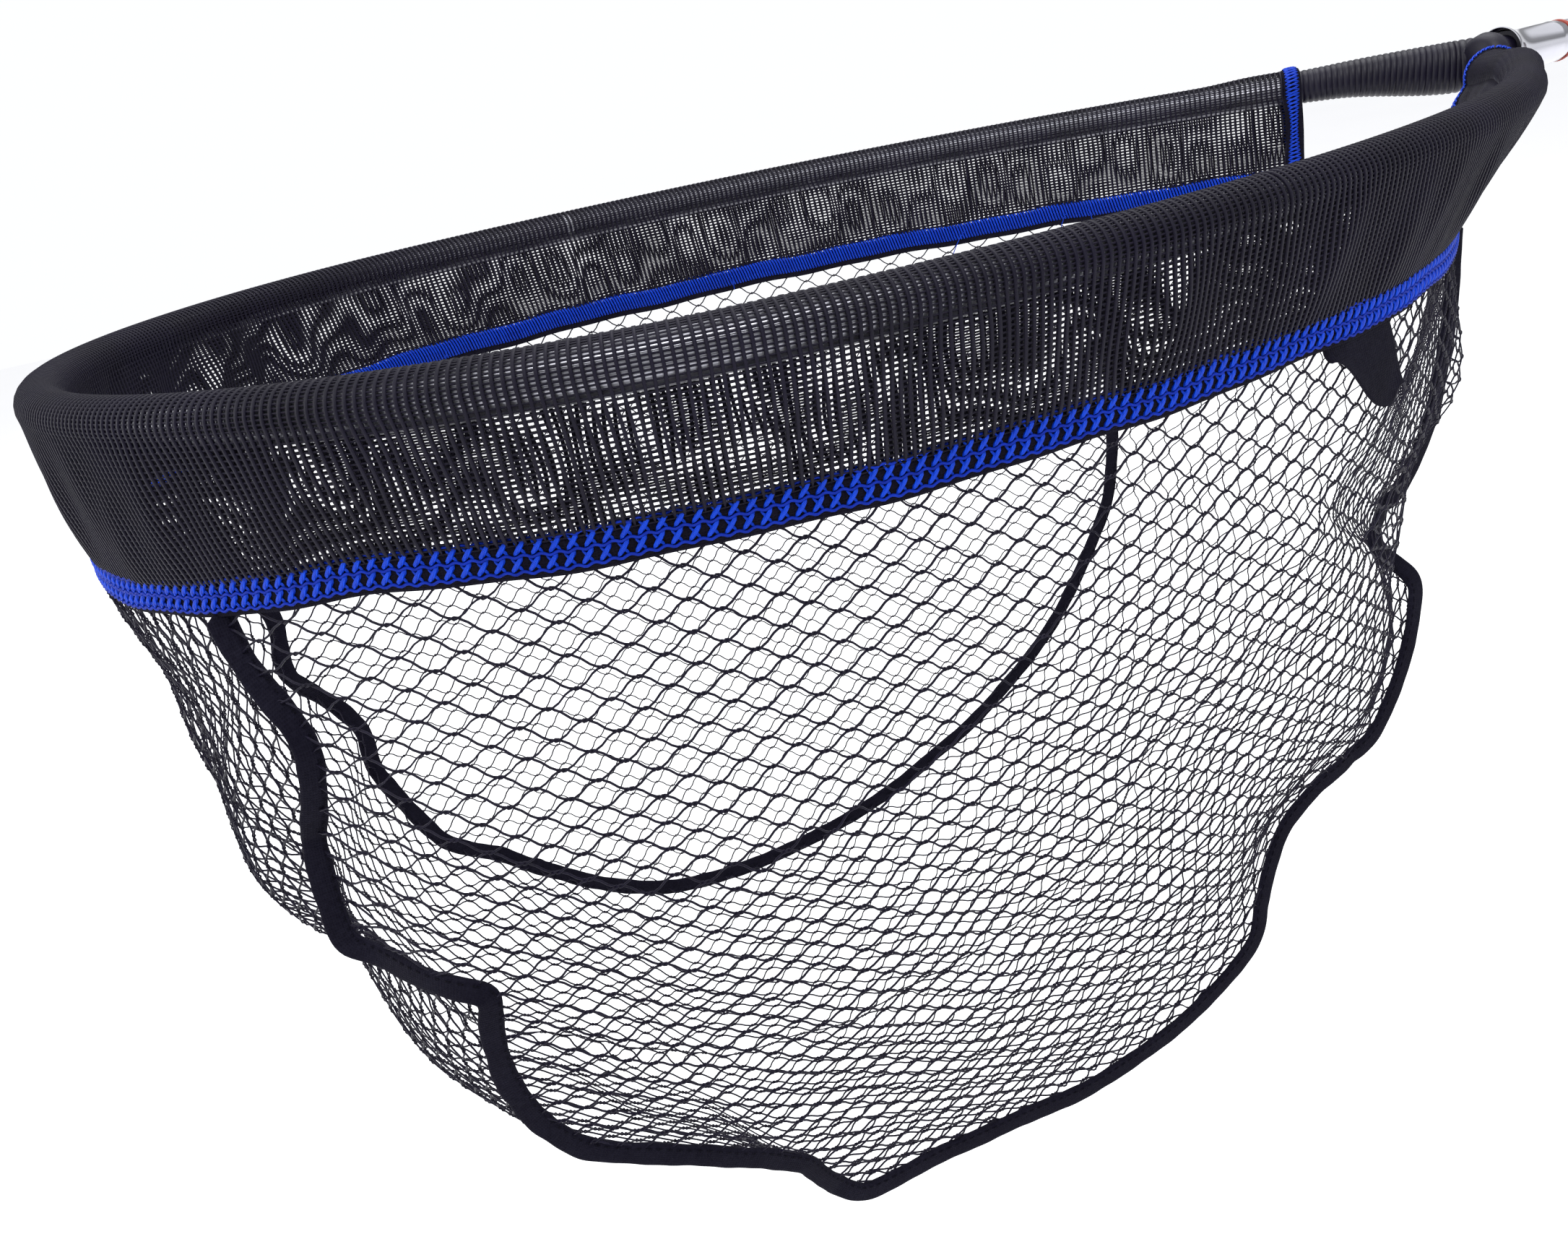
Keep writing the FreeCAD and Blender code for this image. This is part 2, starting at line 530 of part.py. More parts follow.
def sleeve():
    """Cloth folded over the hoop tube, both layers running down to the hem."""
    total = half_length()
    start, stop = -(total - size.near_sleeve_end), total - size.far_sleeve_end
    rows, section_points = 61, 31
    taper = (size.arm_root_dia - size.arm_mouth_dia) / 2 / (size.tube_end_to_apex - size.arm_root_reach)
    flare_start, flare_run = 40.0, 26.0
    grids = ([], [])
    for row in range(rows):
        distance = start + (stop - start) * row / (rows - 1)
        side = 1 if distance > 0 else -1
        place, normal = hoop_at(abs(distance))
        if side < 0:
            place, normal = mirrored(place), mirrored(normal)
        from_apex = total - abs(distance)
        grow = smooth(size.tube_end_to_apex + flare_start - from_apex, 0, flare_run)
        arm_radius = size.arm_mouth_dia / 2 + size.slide_gap
        arm_radius += max(0.0, size.tube_end_to_apex - from_apex) * taper
        bore = size.hoop_tube_dia / 2 + size.cloth_gap
        bore += grow * max(0.0, arm_radius + size.cloth_gap - bore)
        inset = hem_inset_at(abs(distance))
        floor = -size.hem_drop + size.hem_height / 2 + size.cloth_gap
        for grid, cloth in zip(grids, (size.sleeve_thickness, 0.0)):
            radius, spread = bore + cloth, size.sleeve_pinch + cloth
            wrap = [(radius * math.cos(math.radians(turn)), radius * math.sin(math.radians(turn)))
                    for turn in range(-20, 191, 10)]
            section = [(spread - inset, floor)] + wrap + [(-spread - inset, floor)]
            run = [place + normal * out + Vector(0, 0, rise) for out, rise in section]
            grid.append(resample(run, section_points))
    soft("sleeve", grids[0], grids[1], flat_ends=True)


def band(label, rows, half_height, half_thickness):
    """A flat tape on edge: rows are (point, outward direction, upward direction)."""
    grids = ([], [])
    for point, out, up in rows:
        for grid, side in zip(grids, (1, -1)):
            grid.append([point + out * (side * half_thickness) + up * (half_height * step)
                         for step in (-1, 0, 1)])
    return soft(label, grids[0], grids[1])


def hem_tape():
    """One tape round the whole mouth of the bag, with its butt joint at the neck."""
    half = hem_half()
    loop = [mirrored(point) for point in reversed(half)] + half[1:]
    points = resample(loop, 97)
    rows = []
    for index, point in enumerate(points):
        ahead = points[min(index + 1, len(points) - 1)] - points[max(index - 1, 0)]
        ahead.normalize()
        out = Vector(0, 0, 1).cross(ahead)
        rows.append((point + Vector(0, 0, -size.hem_drop), out, Vector(0, 0, 1)))
    rows[0] = (rows[0][0] + Vector(0, -0.4, 0), rows[0][1], rows[0][2])
    rows[-1] = (rows[-1][0] + Vector(0, 0.4, 0), rows[-1][1], rows[-1][2])
    band("hem_tape", rows, size.hem_height / 2, size.hem_thickness / 2)


def sleeve_bindings():
    """Stitched bindings that close the two cut ends of the sleeve."""
    total = half_length()
    low = size.hem_drop - size.hem_height / 2 - size.cloth_gap - size.binding_width / 2
    for word, side, end in (("near", -1, size.near_sleeve_end), ("far", 1, size.far_sleeve_end)):
        distance = total - end + size.cloth_gap + size.binding_thickness / 2
        rows = []
        for step in range(5):
            share = step / 4
            place, normal = hoop_at(distance)
            drop = size.binding_top + (low - size.binding_top) * share
            inset = hem_inset_at(distance) * (0.3 + 0.7 * share) + 2.0 * (1 - share)
            point = place - normal * inset
            forward = Vector(0, 0, 1).cross(normal) * -1
            if side < 0:
                point, normal, forward = mirrored(point), mirrored(normal), mirrored(forward)
            rows.append((point + Vector(0, 0, -drop), normal, forward))
        band(f"sleeve_binding_{word}", rows, size.binding_width / 2, size.binding_thickness / 2)


def seam_point(share):
    """The U seam on the +Y side, share 0 at the tip, 0.5 at its lowest and 1 at the neck.

    Each half is a quarter of a superellipse, and the half width eases between its three sizes.
    """
    top = -size.hem_drop
    low_x = apex_x - size.seam_low_setback
    tip_x = apex_x - half_reach() + size.seam_tip_setback
    neck_x = apex_x - size.seam_neck_setback
    bend = 2 / size.seam_exponent
    if share <= 0.5:
        angle = share * math.pi
        along, end_x, end_half = math.cos(angle) ** bend, tip_x, size.seam_tip_half
    else:
        angle = (1 - share) * math.pi
        along, end_x, end_half = math.cos(angle) ** bend, neck_x, size.seam_neck_half
    down = math.sin(angle) ** bend
    return Vector(low_x + (end_x - low_x) * along,
                  size.seam_low_half + (end_half - size.seam_low_half) * along,
                  top - (size.bag_depth - size.hem_drop) * down)


def half_reach():
    """Distance along X from the hoop's tip to the apex of the arms."""
    return apex_x - hoop_at(0)[0].x


def hem_y_at(x_place, half):
    """Half width of the hem at this place along X, on its long side."""
    for first, second in zip(half, half[1:]):
        if first.x <= x_place <= second.x:
            return first.y + (second.y - first.y) * (x_place - first.x) / (second.x - first.x)
    return half[-1].y


def bag_top():
    return -size.hem_drop - size.hem_height / 2 - size.cloth_gap


def seam_outward(share):
    """Direction square to the seam in the XZ plane, pointing away from the side panel."""
    step = 0.004
    before, after = seam_point(max(0.0, share - step)), seam_point(min(1.0, share + step))
    run = Vector(after.x - before.x, 0, after.z - before.z)
    run.normalize()
    return Vector(run.z, 0, -run.x)


def side_panels():
    """The two long sides of the bag, from the hem down to the U seam."""
    half = hem_half()
    margin = size.tape_width / 2 + size.seam_clearance
    top = bag_top()
    for word, side in (("near", -1), ("far", 1)):
        outer, inner = [], []
        for row in range(25):
            share = 0.06 + 0.88 * row / 24
            seam = seam_point(share)
            edge = seam - seam_outward(share) * margin
            hem_y = hem_y_at(edge.x, half)
            low = min(edge.z, top - 4.0)
            line = []
            for column in range(7):
                z_place = low + (top - low) * column / 6
                lift = (z_place - seam.z) / (top - seam.z)
                y_place = seam.y + (hem_y - seam.y) * lift + size.panel_belly * math.sin(math.pi * lift)
                line.append(Vector(edge.x, side * y_place, z_place))
            outer.append(line)
            inner.append([point - Vector(0, side * size.bag_thickness, 0) for point in line])
        soft(f"bag_panel_{word}", outer, inner)


def gusset_point(share, across):
    """The strip between the two seams: across runs from -1 near to +1 far, bulging outwards."""
    seam = seam_point(share)
    round_bulge = size.gusset_bulge * (1 - across * across)
    nose_reach = hem_half()[-1].x - (apex_x - size.seam_neck_setback)
    vee_bulge = nose_reach * (1 - math.sqrt(across * across * 0.96 + 0.04))
    weight = smooth(share, 0.70, 1.0) ** 1.5
    bulge = round_bulge * (1 - weight) + vee_bulge * weight
    return Vector(seam.x, across * seam.y, seam.z) + seam_outward(share) * bulge


def gusset():
    """The strip round the bag's tip, floor and neck, in three lengths."""
    edge = 0.965
    lengths = (("tip", 0.012, 0.300, 10), ("floor", 0.303, 0.697, 10), ("neck", 0.700, 0.992, 14))
    for word, low, high, rows in lengths:
        outer = []
        for row in range(rows):
            share = low + (high - low) * row / (rows - 1)
            line = []
            for column in range(13):
                across = edge * (column / 6 - 1)
                point = gusset_point(share, across)
                point.z = min(point.z, bag_top() - 0.2 * row - (1.5 if word == "tip" else 0.5))
                line.append(point)
            outer.append(line)
        inner = inward(outer, size.bag_thickness)
        soft(f"bag_gusset_{word}", outer, inner)


def seam_tapes():
    """Bound seams between the strip and the two side panels."""
    for word, side in (("near", -1), ("far", 1)):
        rows = []
        for row in range(41):
            share = 0.05 + 0.90 * row / 40
            seam = seam_point(share)
            ahead = seam_point(share + 0.01) - seam_point(share - 0.01)
            ahead.normalize()
            out = Vector(0, side, 0)
            up = ahead.cross(out) * -side
            up.normalize()
            rows.append((Vector(seam.x, side * (seam.y + size.seam_clearance), seam.z), out, up))
        band(f"seam_tape_{word}", rows, size.tape_width / 2, size.tape_thickness / 2)


def hem_tag():
    """A short folded tab of webbing that hangs inside the hem near the neck."""
    half = hem_half()
    rows = []
    middle = apex_x - size.tag_setback
    for step in range(4):
        x_place = middle + size.tag_width * (step / 3 - 0.5)
        point = Vector(x_place, size.tag_inset - hem_y_at(x_place, half),
                       bag_top() - size.tag_thickness - size.tag_length / 2)
        rows.append((point, Vector(0, -1, 0), Vector(0, 0, 1)))
    band("hem_tag", rows, size.tag_length / 2, size.tag_thickness / 2)


# ---------------------------------------------------------------- assembly
handle_tubes()
twist_lock("outer", "outer", "mid", COLLAR_REAR)
twist_lock("mid", "mid", "inner", MID_COLLAR_REAR)
handle_ends()
head_fixing()
hoop_tube()
yoke()
sleeve()
sleeve_bindings()
hem_tape()
side_panels()
gusset()
seam_tapes()
hem_tag()

doc.recompute()
for thing in doc.Objects:
    bad = [word for word in ("Invalid", "Error") if word in thing.State]
    if bad:
        raise RuntimeError(f"{thing.Label} is {bad}")
for part in parts:
    if part.Shape.isNull() or not part.Shape.isValid():
        raise RuntimeError(f"{part.Label} has no valid shape")
os.makedirs("parts", exist_ok=True)
for part in parts:
    part.Shape.exportStep(f"parts/{part.Label}.step")
print(len(parts), "sub-parts;", "apex x", round(apex_x, 2), "tip x", round(hoop_at(0)[0].x, 2))
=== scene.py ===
"""Landing net with a telescopic handle: the finished look of every piece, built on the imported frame.

Lengths are in metres. The hoop lies in the XY plane with its tip at -X, the handle runs along +X and
the bag hangs down -Z. The near side of the net is -Y and the far side is +Y.
"""

import math

import bpy
import numpy as np
from mathutils import Matrix, Vector


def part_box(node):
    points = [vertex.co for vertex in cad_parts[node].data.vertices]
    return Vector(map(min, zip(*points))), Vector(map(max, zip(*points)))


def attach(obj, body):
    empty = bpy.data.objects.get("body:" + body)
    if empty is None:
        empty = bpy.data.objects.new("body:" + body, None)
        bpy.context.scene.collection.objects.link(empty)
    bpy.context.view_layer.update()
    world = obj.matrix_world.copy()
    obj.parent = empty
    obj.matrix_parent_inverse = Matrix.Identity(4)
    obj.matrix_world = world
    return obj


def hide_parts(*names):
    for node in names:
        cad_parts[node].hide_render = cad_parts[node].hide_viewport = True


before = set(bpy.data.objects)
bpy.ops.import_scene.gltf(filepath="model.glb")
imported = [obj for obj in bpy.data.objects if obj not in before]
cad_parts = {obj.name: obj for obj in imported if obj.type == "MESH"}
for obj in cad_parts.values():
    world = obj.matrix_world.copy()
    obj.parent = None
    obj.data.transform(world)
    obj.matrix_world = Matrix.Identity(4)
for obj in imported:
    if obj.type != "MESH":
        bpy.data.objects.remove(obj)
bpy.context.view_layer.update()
MM = 0.001

# ------------------------------------------------------------------ sizes
TIP_RADIUS = 180.5 * MM
TIP_SWEEP = math.radians(80)
SIDE_RADIUS = 411.5 * MM
ARM_ANGLE = math.radians(38.5)
TUBE_RADIUS = 6 * MM
TUBE_WALL = 1.2 * MM
TUBE_END = 92 * MM                 # along an arm, from the apex where both arms would meet
FERRULE_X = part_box("ferrule")[0].x
APEX_X = FERRULE_X + 8 * MM
HEM_TOP = -34 * MM
HEM_LOW = -42.8 * MM
TAPE_THICK = 2.2 * MM
NEAR_END, FAR_END = 26 * MM, 88 * MM   # the sleeve's ends on the tube, from the apex
NEAR_SLANT = 46 * MM               # how much further the near end lies at the hem
SLEEVE_LENGTHS = 4                 # the sleeve is one cloth, modelled in this many lengths
CELL_LENGTH, CELL_HEIGHT = 13.3 * MM, 8.6 * MM
JOINT_LENGTH = 2.6 * MM            # where two yarns of the netting turn about each other
YARN, YARN_WRAP = 0.32 * MM, 0.36 * MM     # the yarn's radius, and its distance from its joint's middle
RIB, RUNG = 0.56 * MM, 0.30 * MM   # radii of the sleeve's threads
RIB_GAP = 2.2 * MM
STITCH_PITCH = 3.9 * MM            # along the hem
SEAM_HALF_WIDTH = 3.4 * MM
FLOOR_Z = -0.52
FULL_TURN = 6.283                  # radians in one wave of a woven pattern


# ------------------------------------------------------------------ camera, floor and light
EYE = (-0.77196, -0.42681, 0.04873)


def make_camera():
    """Stands off the near side of the net near its neck, looking down and across the mouth."""
    data = bpy.data.cameras.new("view")
    data.lens, data.sensor_width = 30.675, 36.0
    data.clip_start = 0.01
    yaw, pitch, roll = math.radians(67.57), math.radians(-21.96), math.radians(-10.85)
    ahead = Vector((math.cos(pitch) * math.cos(yaw), math.cos(pitch) * math.sin(yaw), math.sin(pitch)))
    level = Vector((math.sin(yaw), -math.cos(yaw), 0))
    upright = level.cross(ahead)
    right = level * math.cos(roll) + upright * math.sin(roll)
    up = upright * math.cos(roll) - level * math.sin(roll)
    place = Matrix((right, up, -ahead)).transposed().to_4x4()
    place.translation = EYE
    camera = bpy.data.objects.new("view", data)
    camera.matrix_world = place
    bpy.context.scene.collection.objects.link(camera)
    bpy.context.scene.camera = camera


def area_light(name, place, aim, size, power):
    """A square lamp at a place, turned to face its aim."""
    data = bpy.data.lights.new(name, "AREA")
    data.energy, data.size = power, size
    light = bpy.data.objects.new(name, data)
    light.location = place
    light.rotation_euler = (Vector(aim) - Vector(place)).to_track_quat("-Z", "Y").to_euler()
    bpy.context.scene.collection.objects.link(light)


def make_studio():
    """Pale surroundings with a grey band above the horizon, which bright metal reflects, and three lamps."""
    world = bpy.data.worlds.new("studio")
    world.use_nodes = True
    tree = world.node_tree
    place = tree.nodes.new("ShaderNodeTexCoord")
    split = tree.nodes.new("ShaderNodeSeparateXYZ")
    ramp = tree.nodes.new("ShaderNodeValToRGB")
    bands = ((0.0, 0.93), (0.12, 0.93), (0.26, 0.30), (0.42, 0.38), (0.6, 0.95), (1.0, 1.0))
    for _ in bands[2:]:
        ramp.color_ramp.elements.new(0.5)
    for stop, (height, level) in zip(ramp.color_ramp.elements, bands):
        stop.position, stop.color = height, (level * 0.97, level * 0.98, level, 1)
    tree.links.new(place.outputs["Generated"], split.inputs[0])
    tree.links.new(split.outputs["Z"], ramp.inputs[0])
    tree.links.new(ramp.outputs["Color"], tree.nodes["Background"].inputs["Color"])
    tree.nodes["Background"].inputs["Strength"].default_value = 1.1
    bpy.context.scene.world = world
    bpy.context.scene.view_settings.view_transform = "Standard"
    middle = (-0.5, 0.0, -0.1)
    area_light("window_light", (-0.9, -1.3, 1.5), middle, 1.4, 26)
    area_light("ceiling_light", (0.1, 0.6, 1.9), middle, 1.8, 30)
    area_light("side_light", (-2.0, 0.5, 0.6), middle, 1.2, 12)


# ------------------------------------------------------------------ finishes
class Wire:
    """A value in a material's nodes. Arithmetic on it adds Math nodes."""

    def __init__(self, finish, socket):
        self.finish, self.socket = finish, socket

    def math(self, operation, *others):
        return self.finish.node("Math", {"operation": operation}, self, *others)

    def __add__(self, other):
        return self.math("ADD", other)

    def __mul__(self, other):
        return self.math("MULTIPLY", other)

    def sine(self):
        return self.math("SINE")

    def waves(self):
        """Even waves between 0 and 1, one for each full turn of the value."""
        return (self.sine() + 1) * 0.5

    def power(self, exponent):
        return self.math("POWER", exponent)

    __radd__, __rmul__ = __add__, __mul__


class Finish:
    """One material: constants go on its shader's sockets, and node() adds every other node."""

    def __init__(self, name, **constants):
        self.material = bpy.data.materials.new(name)
        self.material.use_nodes = True
        self.tree = self.material.node_tree
        self.shader = self.tree.nodes["Principled BSDF"]
        for socket, value in constants.items():
            self.shader.inputs[socket.replace("_", " ")].default_value = value

    def node(self, kind, settings, *inputs, output=0, **named):
        """A node of this type, with its settings first, then its sockets by place or by name."""
        made = self.tree.nodes.new("ShaderNode" + kind)
        for setting, value in settings.items():
            if setting == "stops":
                for stop, (place, colour) in zip(made.color_ramp.elements, value):
                    stop.position, stop.color = place, colour
            else:
                setattr(made, setting, value)
        sockets = list(enumerate(inputs)) + [(word.replace("_", " "), v) for word, v in named.items()]
        for key, value in sockets:
            if isinstance(value, Wire):
                self.tree.links.new(value.socket, made.inputs[key])
            else:
                made.inputs[key].default_value = value
        return Wire(self, made.outputs[output])

    def noise(self, scale, detail=3.0, roughness=0.5, vector=None):
        where = vector or self.place()
        return self.node("TexNoise", {}, Vector=where, Scale=scale, Detail=detail, Roughness=roughness)

    def place(self):
        return self.node("TexCoord", {}, output="Object")

    def chart(self):
        """The piece's own UV map, in metres along and across."""
        return self.node("TexCoord", {}, output="UV")

    def axes(self, vector):
        """The vector's X, Y and Z, each a wire of its own."""
        node = self.node("SeparateXYZ", {}, vector).socket.node
        return [Wire(self, node.outputs[index]) for index in range(3)]

    def mix(self, share, first, second):
        """The first colour where share is 0, the second where it is 1."""
        node = self.node("Mix", {"data_type": "RGBA"}).socket.node
        colours = [socket for socket in node.inputs if socket.type == "RGBA"]
        for socket, value in zip([node.inputs[0]] + colours, (share, first, second)):
            if isinstance(value, Wire):
                self.tree.links.new(value.socket, socket)
            else:
                socket.default_value = value
        return Wire(self, [socket for socket in node.outputs if socket.type == "RGBA"][0])

    def bump(self, height, distance, strength=1.0):
        return self.node("Bump", {}, Height=height, Distance=distance, Strength=strength)

    def feed(self, **sockets):
        for socket, wire in sockets.items():
            self.tree.links.new(wire.socket, self.shader.inputs[socket.replace("_", " ")])
        return self.material


def grey(value, tint=(1.0, 1.0, 1.0)):
    """A grey of this brightness, or a tint of it."""
    return (value * tint[0], value * tint[1], value * tint[2], 1.0)


VIOLET_BLACK = (0.85, 0.62, 2.3)


def net_thread():
    """Black dyed nylon yarn: two plies laid together, slightly lighter where it is rubbed."""
    finish = Finish("net_thread", Roughness=0.5, Specular_IOR_Level=0.14)
    rubbed = finish.noise(220, 4)
    ply = finish.axes(finish.chart())
    twist = (ply[0] * 5200 + ply[1] * FULL_TURN).waves()
    colour = finish.mix(rubbed, grey(0.0022, VIOLET_BLACK), grey(0.008, VIOLET_BLACK))
    return finish.feed(Base_Color=colour, Normal=finish.bump(twist, 0.08 * MM, 0.6))


def sleeve_thread():
    """Black polyester yarn of the knitted sleeve, with a dull sheen."""
    finish = Finish("sleeve_thread", Roughness=0.55, Specular_IOR_Level=0.16)
    patch = finish.noise(38, 3)
    fibres = finish.noise(2600, 2)
    colour = finish.mix(patch, grey(0.0022, VIOLET_BLACK), grey(0.007, VIOLET_BLACK))
    return finish.feed(Base_Color=colour, Normal=finish.bump(fibres, 0.06 * MM, 0.5))


def tape_weave():
    """Black woven binding tape: fine ribs across it, a little faded and dusty."""
    finish = Finish("tape_weave", Roughness=0.9, Specular_IOR_Level=0.08)
    along, across, _ = finish.axes(finish.chart())
    ribs = (along * (FULL_TURN / (0.9 * MM))).waves()
    picks = (across * (FULL_TURN / (0.7 * MM))).waves()
    fade = finish.noise(60, 4)
    lint = finish.noise(900, 2)
    colour = finish.mix(fade * lint * 1.6, grey(0.0025, VIOLET_BLACK), grey(0.013, (0.85, 0.8, 1.5)))
    return finish.feed(Base_Color=colour, Normal=finish.bump(ribs * picks + lint * 0.5, 0.25 * MM, 0.9))


def blue_thread():
    """Bulked royal blue overlock thread, mixed between a shaded blue and a highlight blue: painted
    highlights along its twisted filaments and in random patches.
    """
    finish = Finish("blue_thread", Roughness=0.5, Specular_IOR_Level=0.2)
    along, across, _ = finish.axes(finish.chart())
    # Stripes twisting round the thread: real relief in the bump, painted highlights in the colour.
    filaments_and_glints = (across * 25.0 + along * 2600).waves()
    shade = finish.noise(140, 4)
    # deep is painted shade and bright is painted highlight on the same blue.
    deep, bright = (0.001, 0.010, 0.24, 1), (0.004, 0.085, 0.85, 1)
    colour = finish.mix(filaments_and_glints * 0.55 + shade * 0.45, deep, bright)
    return finish.feed(Base_Color=colour, Normal=finish.bump(filaments_and_glints, 0.12 * MM, 0.8))


def shaded_blue_thread():
    """The same thread along the chains of the overlock, where it is pulled flat, in a darker copy that is
    painted shade.
    """
    finish = Finish("shaded_blue_thread", Roughness=0.6, Specular_IOR_Level=0.12)
    shade = finish.noise(300, 4)
    # Both tones are darker than the plain blue thread: painted shade on the chains.
    deep, bright = (0.0008, 0.006, 0.12, 1), (0.002, 0.030, 0.42, 1)
    colour = finish.mix(shade, deep, bright)
    return finish.feed(Base_Color=colour, Normal=finish.bump(shade, 0.12 * MM, 0.8))


def drawn_aluminium():
    """Drawn tube: fine lines along it, faint handling marks."""
    finish = Finish("drawn_aluminium", Metallic=1.0)
    x_place, y_place, z_place = finish.axes(finish.place())
    stretched = finish.node("CombineXYZ", {}, x_place * 0.02, y_place, z_place)
    lines = finish.noise(1800, 3, vector=stretched)
    marks = finish.noise(90, 5)
    colour = finish.mix(marks, (0.36, 0.36, 0.40, 1), (0.47, 0.47, 0.52, 1))
    return finish.feed(Base_Color=colour, Roughness=lines * 0.16 + marks * 0.1 + 0.2,
                       Normal=finish.bump(lines, 0.03 * MM, 0.4))


def bright_chrome():
    """Plated and polished, with faint wipe marks."""
    finish = Finish("bright_chrome", Metallic=1.0)
    wipes = finish.noise(70, 5)
    colour = finish.mix(wipes, (0.55, 0.55, 0.60, 1), (0.68, 0.68, 0.73, 1))
    return finish.feed(Base_Color=colour, Roughness=wipes * 0.12 + 0.05)


def moulded_nylon(name, low=0.003, high=0.010, grain=900, rough=0.36):
    """Moulded black plastic with a fine eroded grain and scuffed high spots."""
    finish = Finish(name, Specular_IOR_Level=0.3)
    texture = finish.noise(grain, 3)
    scuffs = finish.noise(45, 5)
    colour = finish.mix(scuffs.power(2.0), grey(low, VIOLET_BLACK), grey(high, VIOLET_BLACK))
    return finish.feed(Base_Color=colour, Roughness=scuffs * 0.2 + rough,
                       Normal=finish.bump(texture, 0.12 * MM, 0.5))


def pressed_fibre():
    """Red vulcanised fibre with darker flecks."""
    finish = Finish("pressed_fibre", Roughness=0.6)
    flecks = finish.noise(500, 4)
    colour = finish.mix(flecks, (0.16, 0.018, 0.010, 1), (0.36, 0.050, 0.028, 1))
    return finish.feed(Base_Color=colour, Normal=finish.bump(flecks, 0.1 * MM, 0.6))


def cell_foam():
    """Closed-cell foam with its open surface pores, darker towards the middle of each pore where the bump
    dents it: painted shade in the pits.
    """
    finish = Finish("cell_foam", Roughness=0.92, Specular_IOR_Level=0.2)
    pores_and_pit_shade = finish.node("TexVoronoi", {}, Vector=finish.place(), Scale=900.0)
    wear = finish.noise(30, 4)
    # The Voronoi distance is least at each pore's middle. The dark colour there is painted shade, and random
    # wear patches lighten it.
    colour = finish.mix(wear * 0.6 + pores_and_pit_shade * 0.5, grey(0.010), grey(0.040))
    return finish.feed(Base_Color=colour, Normal=finish.bump(pores_and_pit_shade, 0.3 * MM, 0.9))


def turned_metal(name, dark, light, rough):
    """Lathe-turned metal with fine rings across its axis."""
    finish = Finish(name, Metallic=1.0)
    x_place, _, _ = finish.axes(finish.place())
    rings = (x_place * (FULL_TURN / (1.27 * MM))).waves()
    stain = finish.noise(160, 4)
    return finish.feed(Base_Color=finish.mix(stain, dark, light), Roughness=stain * 0.15 + rough,
                       Normal=finish.bump(rings, 0.5 * MM, 0.9))


def white_bush():
    """Off-white moulded plastic of the bushes and collets, unevenly yellowed."""
    finish = Finish("white_bush", Roughness=0.45)
    tone = finish.noise(120, 3)
    return finish.feed(Base_Color=finish.mix(tone, (0.62, 0.61, 0.56, 1), (0.78, 0.77, 0.73, 1)))


def pale_floor():
    """Plain pale floor that glows a little, so that its far edge meets the pale surroundings."""
    finish = Finish("pale_floor", Roughness=0.9, Specular_IOR_Level=0.1, Emission_Color=(1, 1, 1, 1),
                    Emission_Strength=0.16)
    tone = finish.noise(3, 2)
    return finish.feed(Base_Color=finish.mix(tone, (0.86, 0.86, 0.87, 1), (0.90, 0.90, 0.91, 1)))


# ------------------------------------------------------------------ mesh building
def smooth(value, low, high):
    """0 below low, 1 above high, and an S curve between: three shares squared less two cubed."""
    share = np.clip((value - low) / (high - low), 0, 1)
    return share * share * (3 - 2 * share)


def unit(vectors):
    """Each vector divided by its length."""
    return vectors / np.maximum(np.linalg.norm(vectors, axis=-1, keepdims=True), 1e-12)


def turns(sides):
    """The angles of this many points spread evenly round a circle."""
    return np.arange(sides) * math.tau / sides


def squared(value, power):
    """The value with its size raised to a power: cosine and sine so changed give a superellipse."""
    return np.sign(value) * np.abs(value) ** power


def raised(height):
    """A vector straight up for each height."""
    return np.stack([0 * height, 0 * height, height], -1)


def sampled(where, places, table):
    """The table's rows at these places, by straight lines between the places of its rows."""
    return np.stack([np.interp(where, places, column) for column in table.T], -1)


def run_length(path):
    """Length along a path up to each of its points."""
    return np.concatenate([[0], np.cumsum(np.linalg.norm(np.diff(path, axis=0), axis=1))])


def new_object(name, surface, material):
    """A mesh object from points (N, 3), quads (M, 4) and each point's UV in metres, or None."""
    points, quads, chart = surface
    points = np.asarray(points, np.float32).reshape(-1, 3)
    quads = np.asarray(quads, np.int32).reshape(-1, 4)
    mesh = bpy.data.meshes.new(name)
    mesh.vertices.add(len(points))
    mesh.vertices.foreach_set("co", points.ravel())
    mesh.loops.add(quads.size)
    mesh.loops.foreach_set("vertex_index", quads.ravel())
    mesh.polygons.add(len(quads))
    mesh.polygons.foreach_set("loop_start", np.arange(0, quads.size, 4, dtype=np.int32))
    mesh.polygons.foreach_set("use_smooth", np.ones(len(quads), bool))
    if chart is not None:
        layer = mesh.uv_layers.new(name="chart")
        layer.uv.foreach_set("vector", np.asarray(chart, np.float32).reshape(-1, 2)[quads.ravel()].ravel())
    mesh.update(calc_edges=True)
    mesh.materials.append(material)
    made = bpy.data.objects.new(name, mesh)
    bpy.context.scene.collection.objects.link(made)
    return made


def piece(name, surface, material, slot, *stands_for, body="head", corners=None):
    """A new object on its body, that stands for these nodes of the frame. Its slot is not used.

    Edges turned by more than corners, in degrees, stay sharp.
    """
    made = new_object(name, surface, material)
    if corners is not None:
        made.data.set_sharp_from_angle(angle=math.radians(corners))
    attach(made, body)
    if stands_for:
        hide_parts(*stands_for)
    return made


def grid_quads(rows, columns, closed_rows=False, closed_columns=False):
    """Corner numbers of the quads between neighbouring points of a rows by columns grid."""
    row = np.arange(rows if closed_rows else rows - 1)[:, None]
    column = np.arange(columns if closed_columns else columns - 1)[None, :]
    next_row, next_column = (row + 1) % rows, (column + 1) % columns
    corners = (row * columns + column, row * columns + next_column,
               next_row * columns + next_column, next_row * columns + column)
    return np.stack(np.broadcast_arrays(*corners), -1).reshape(-1, 4)


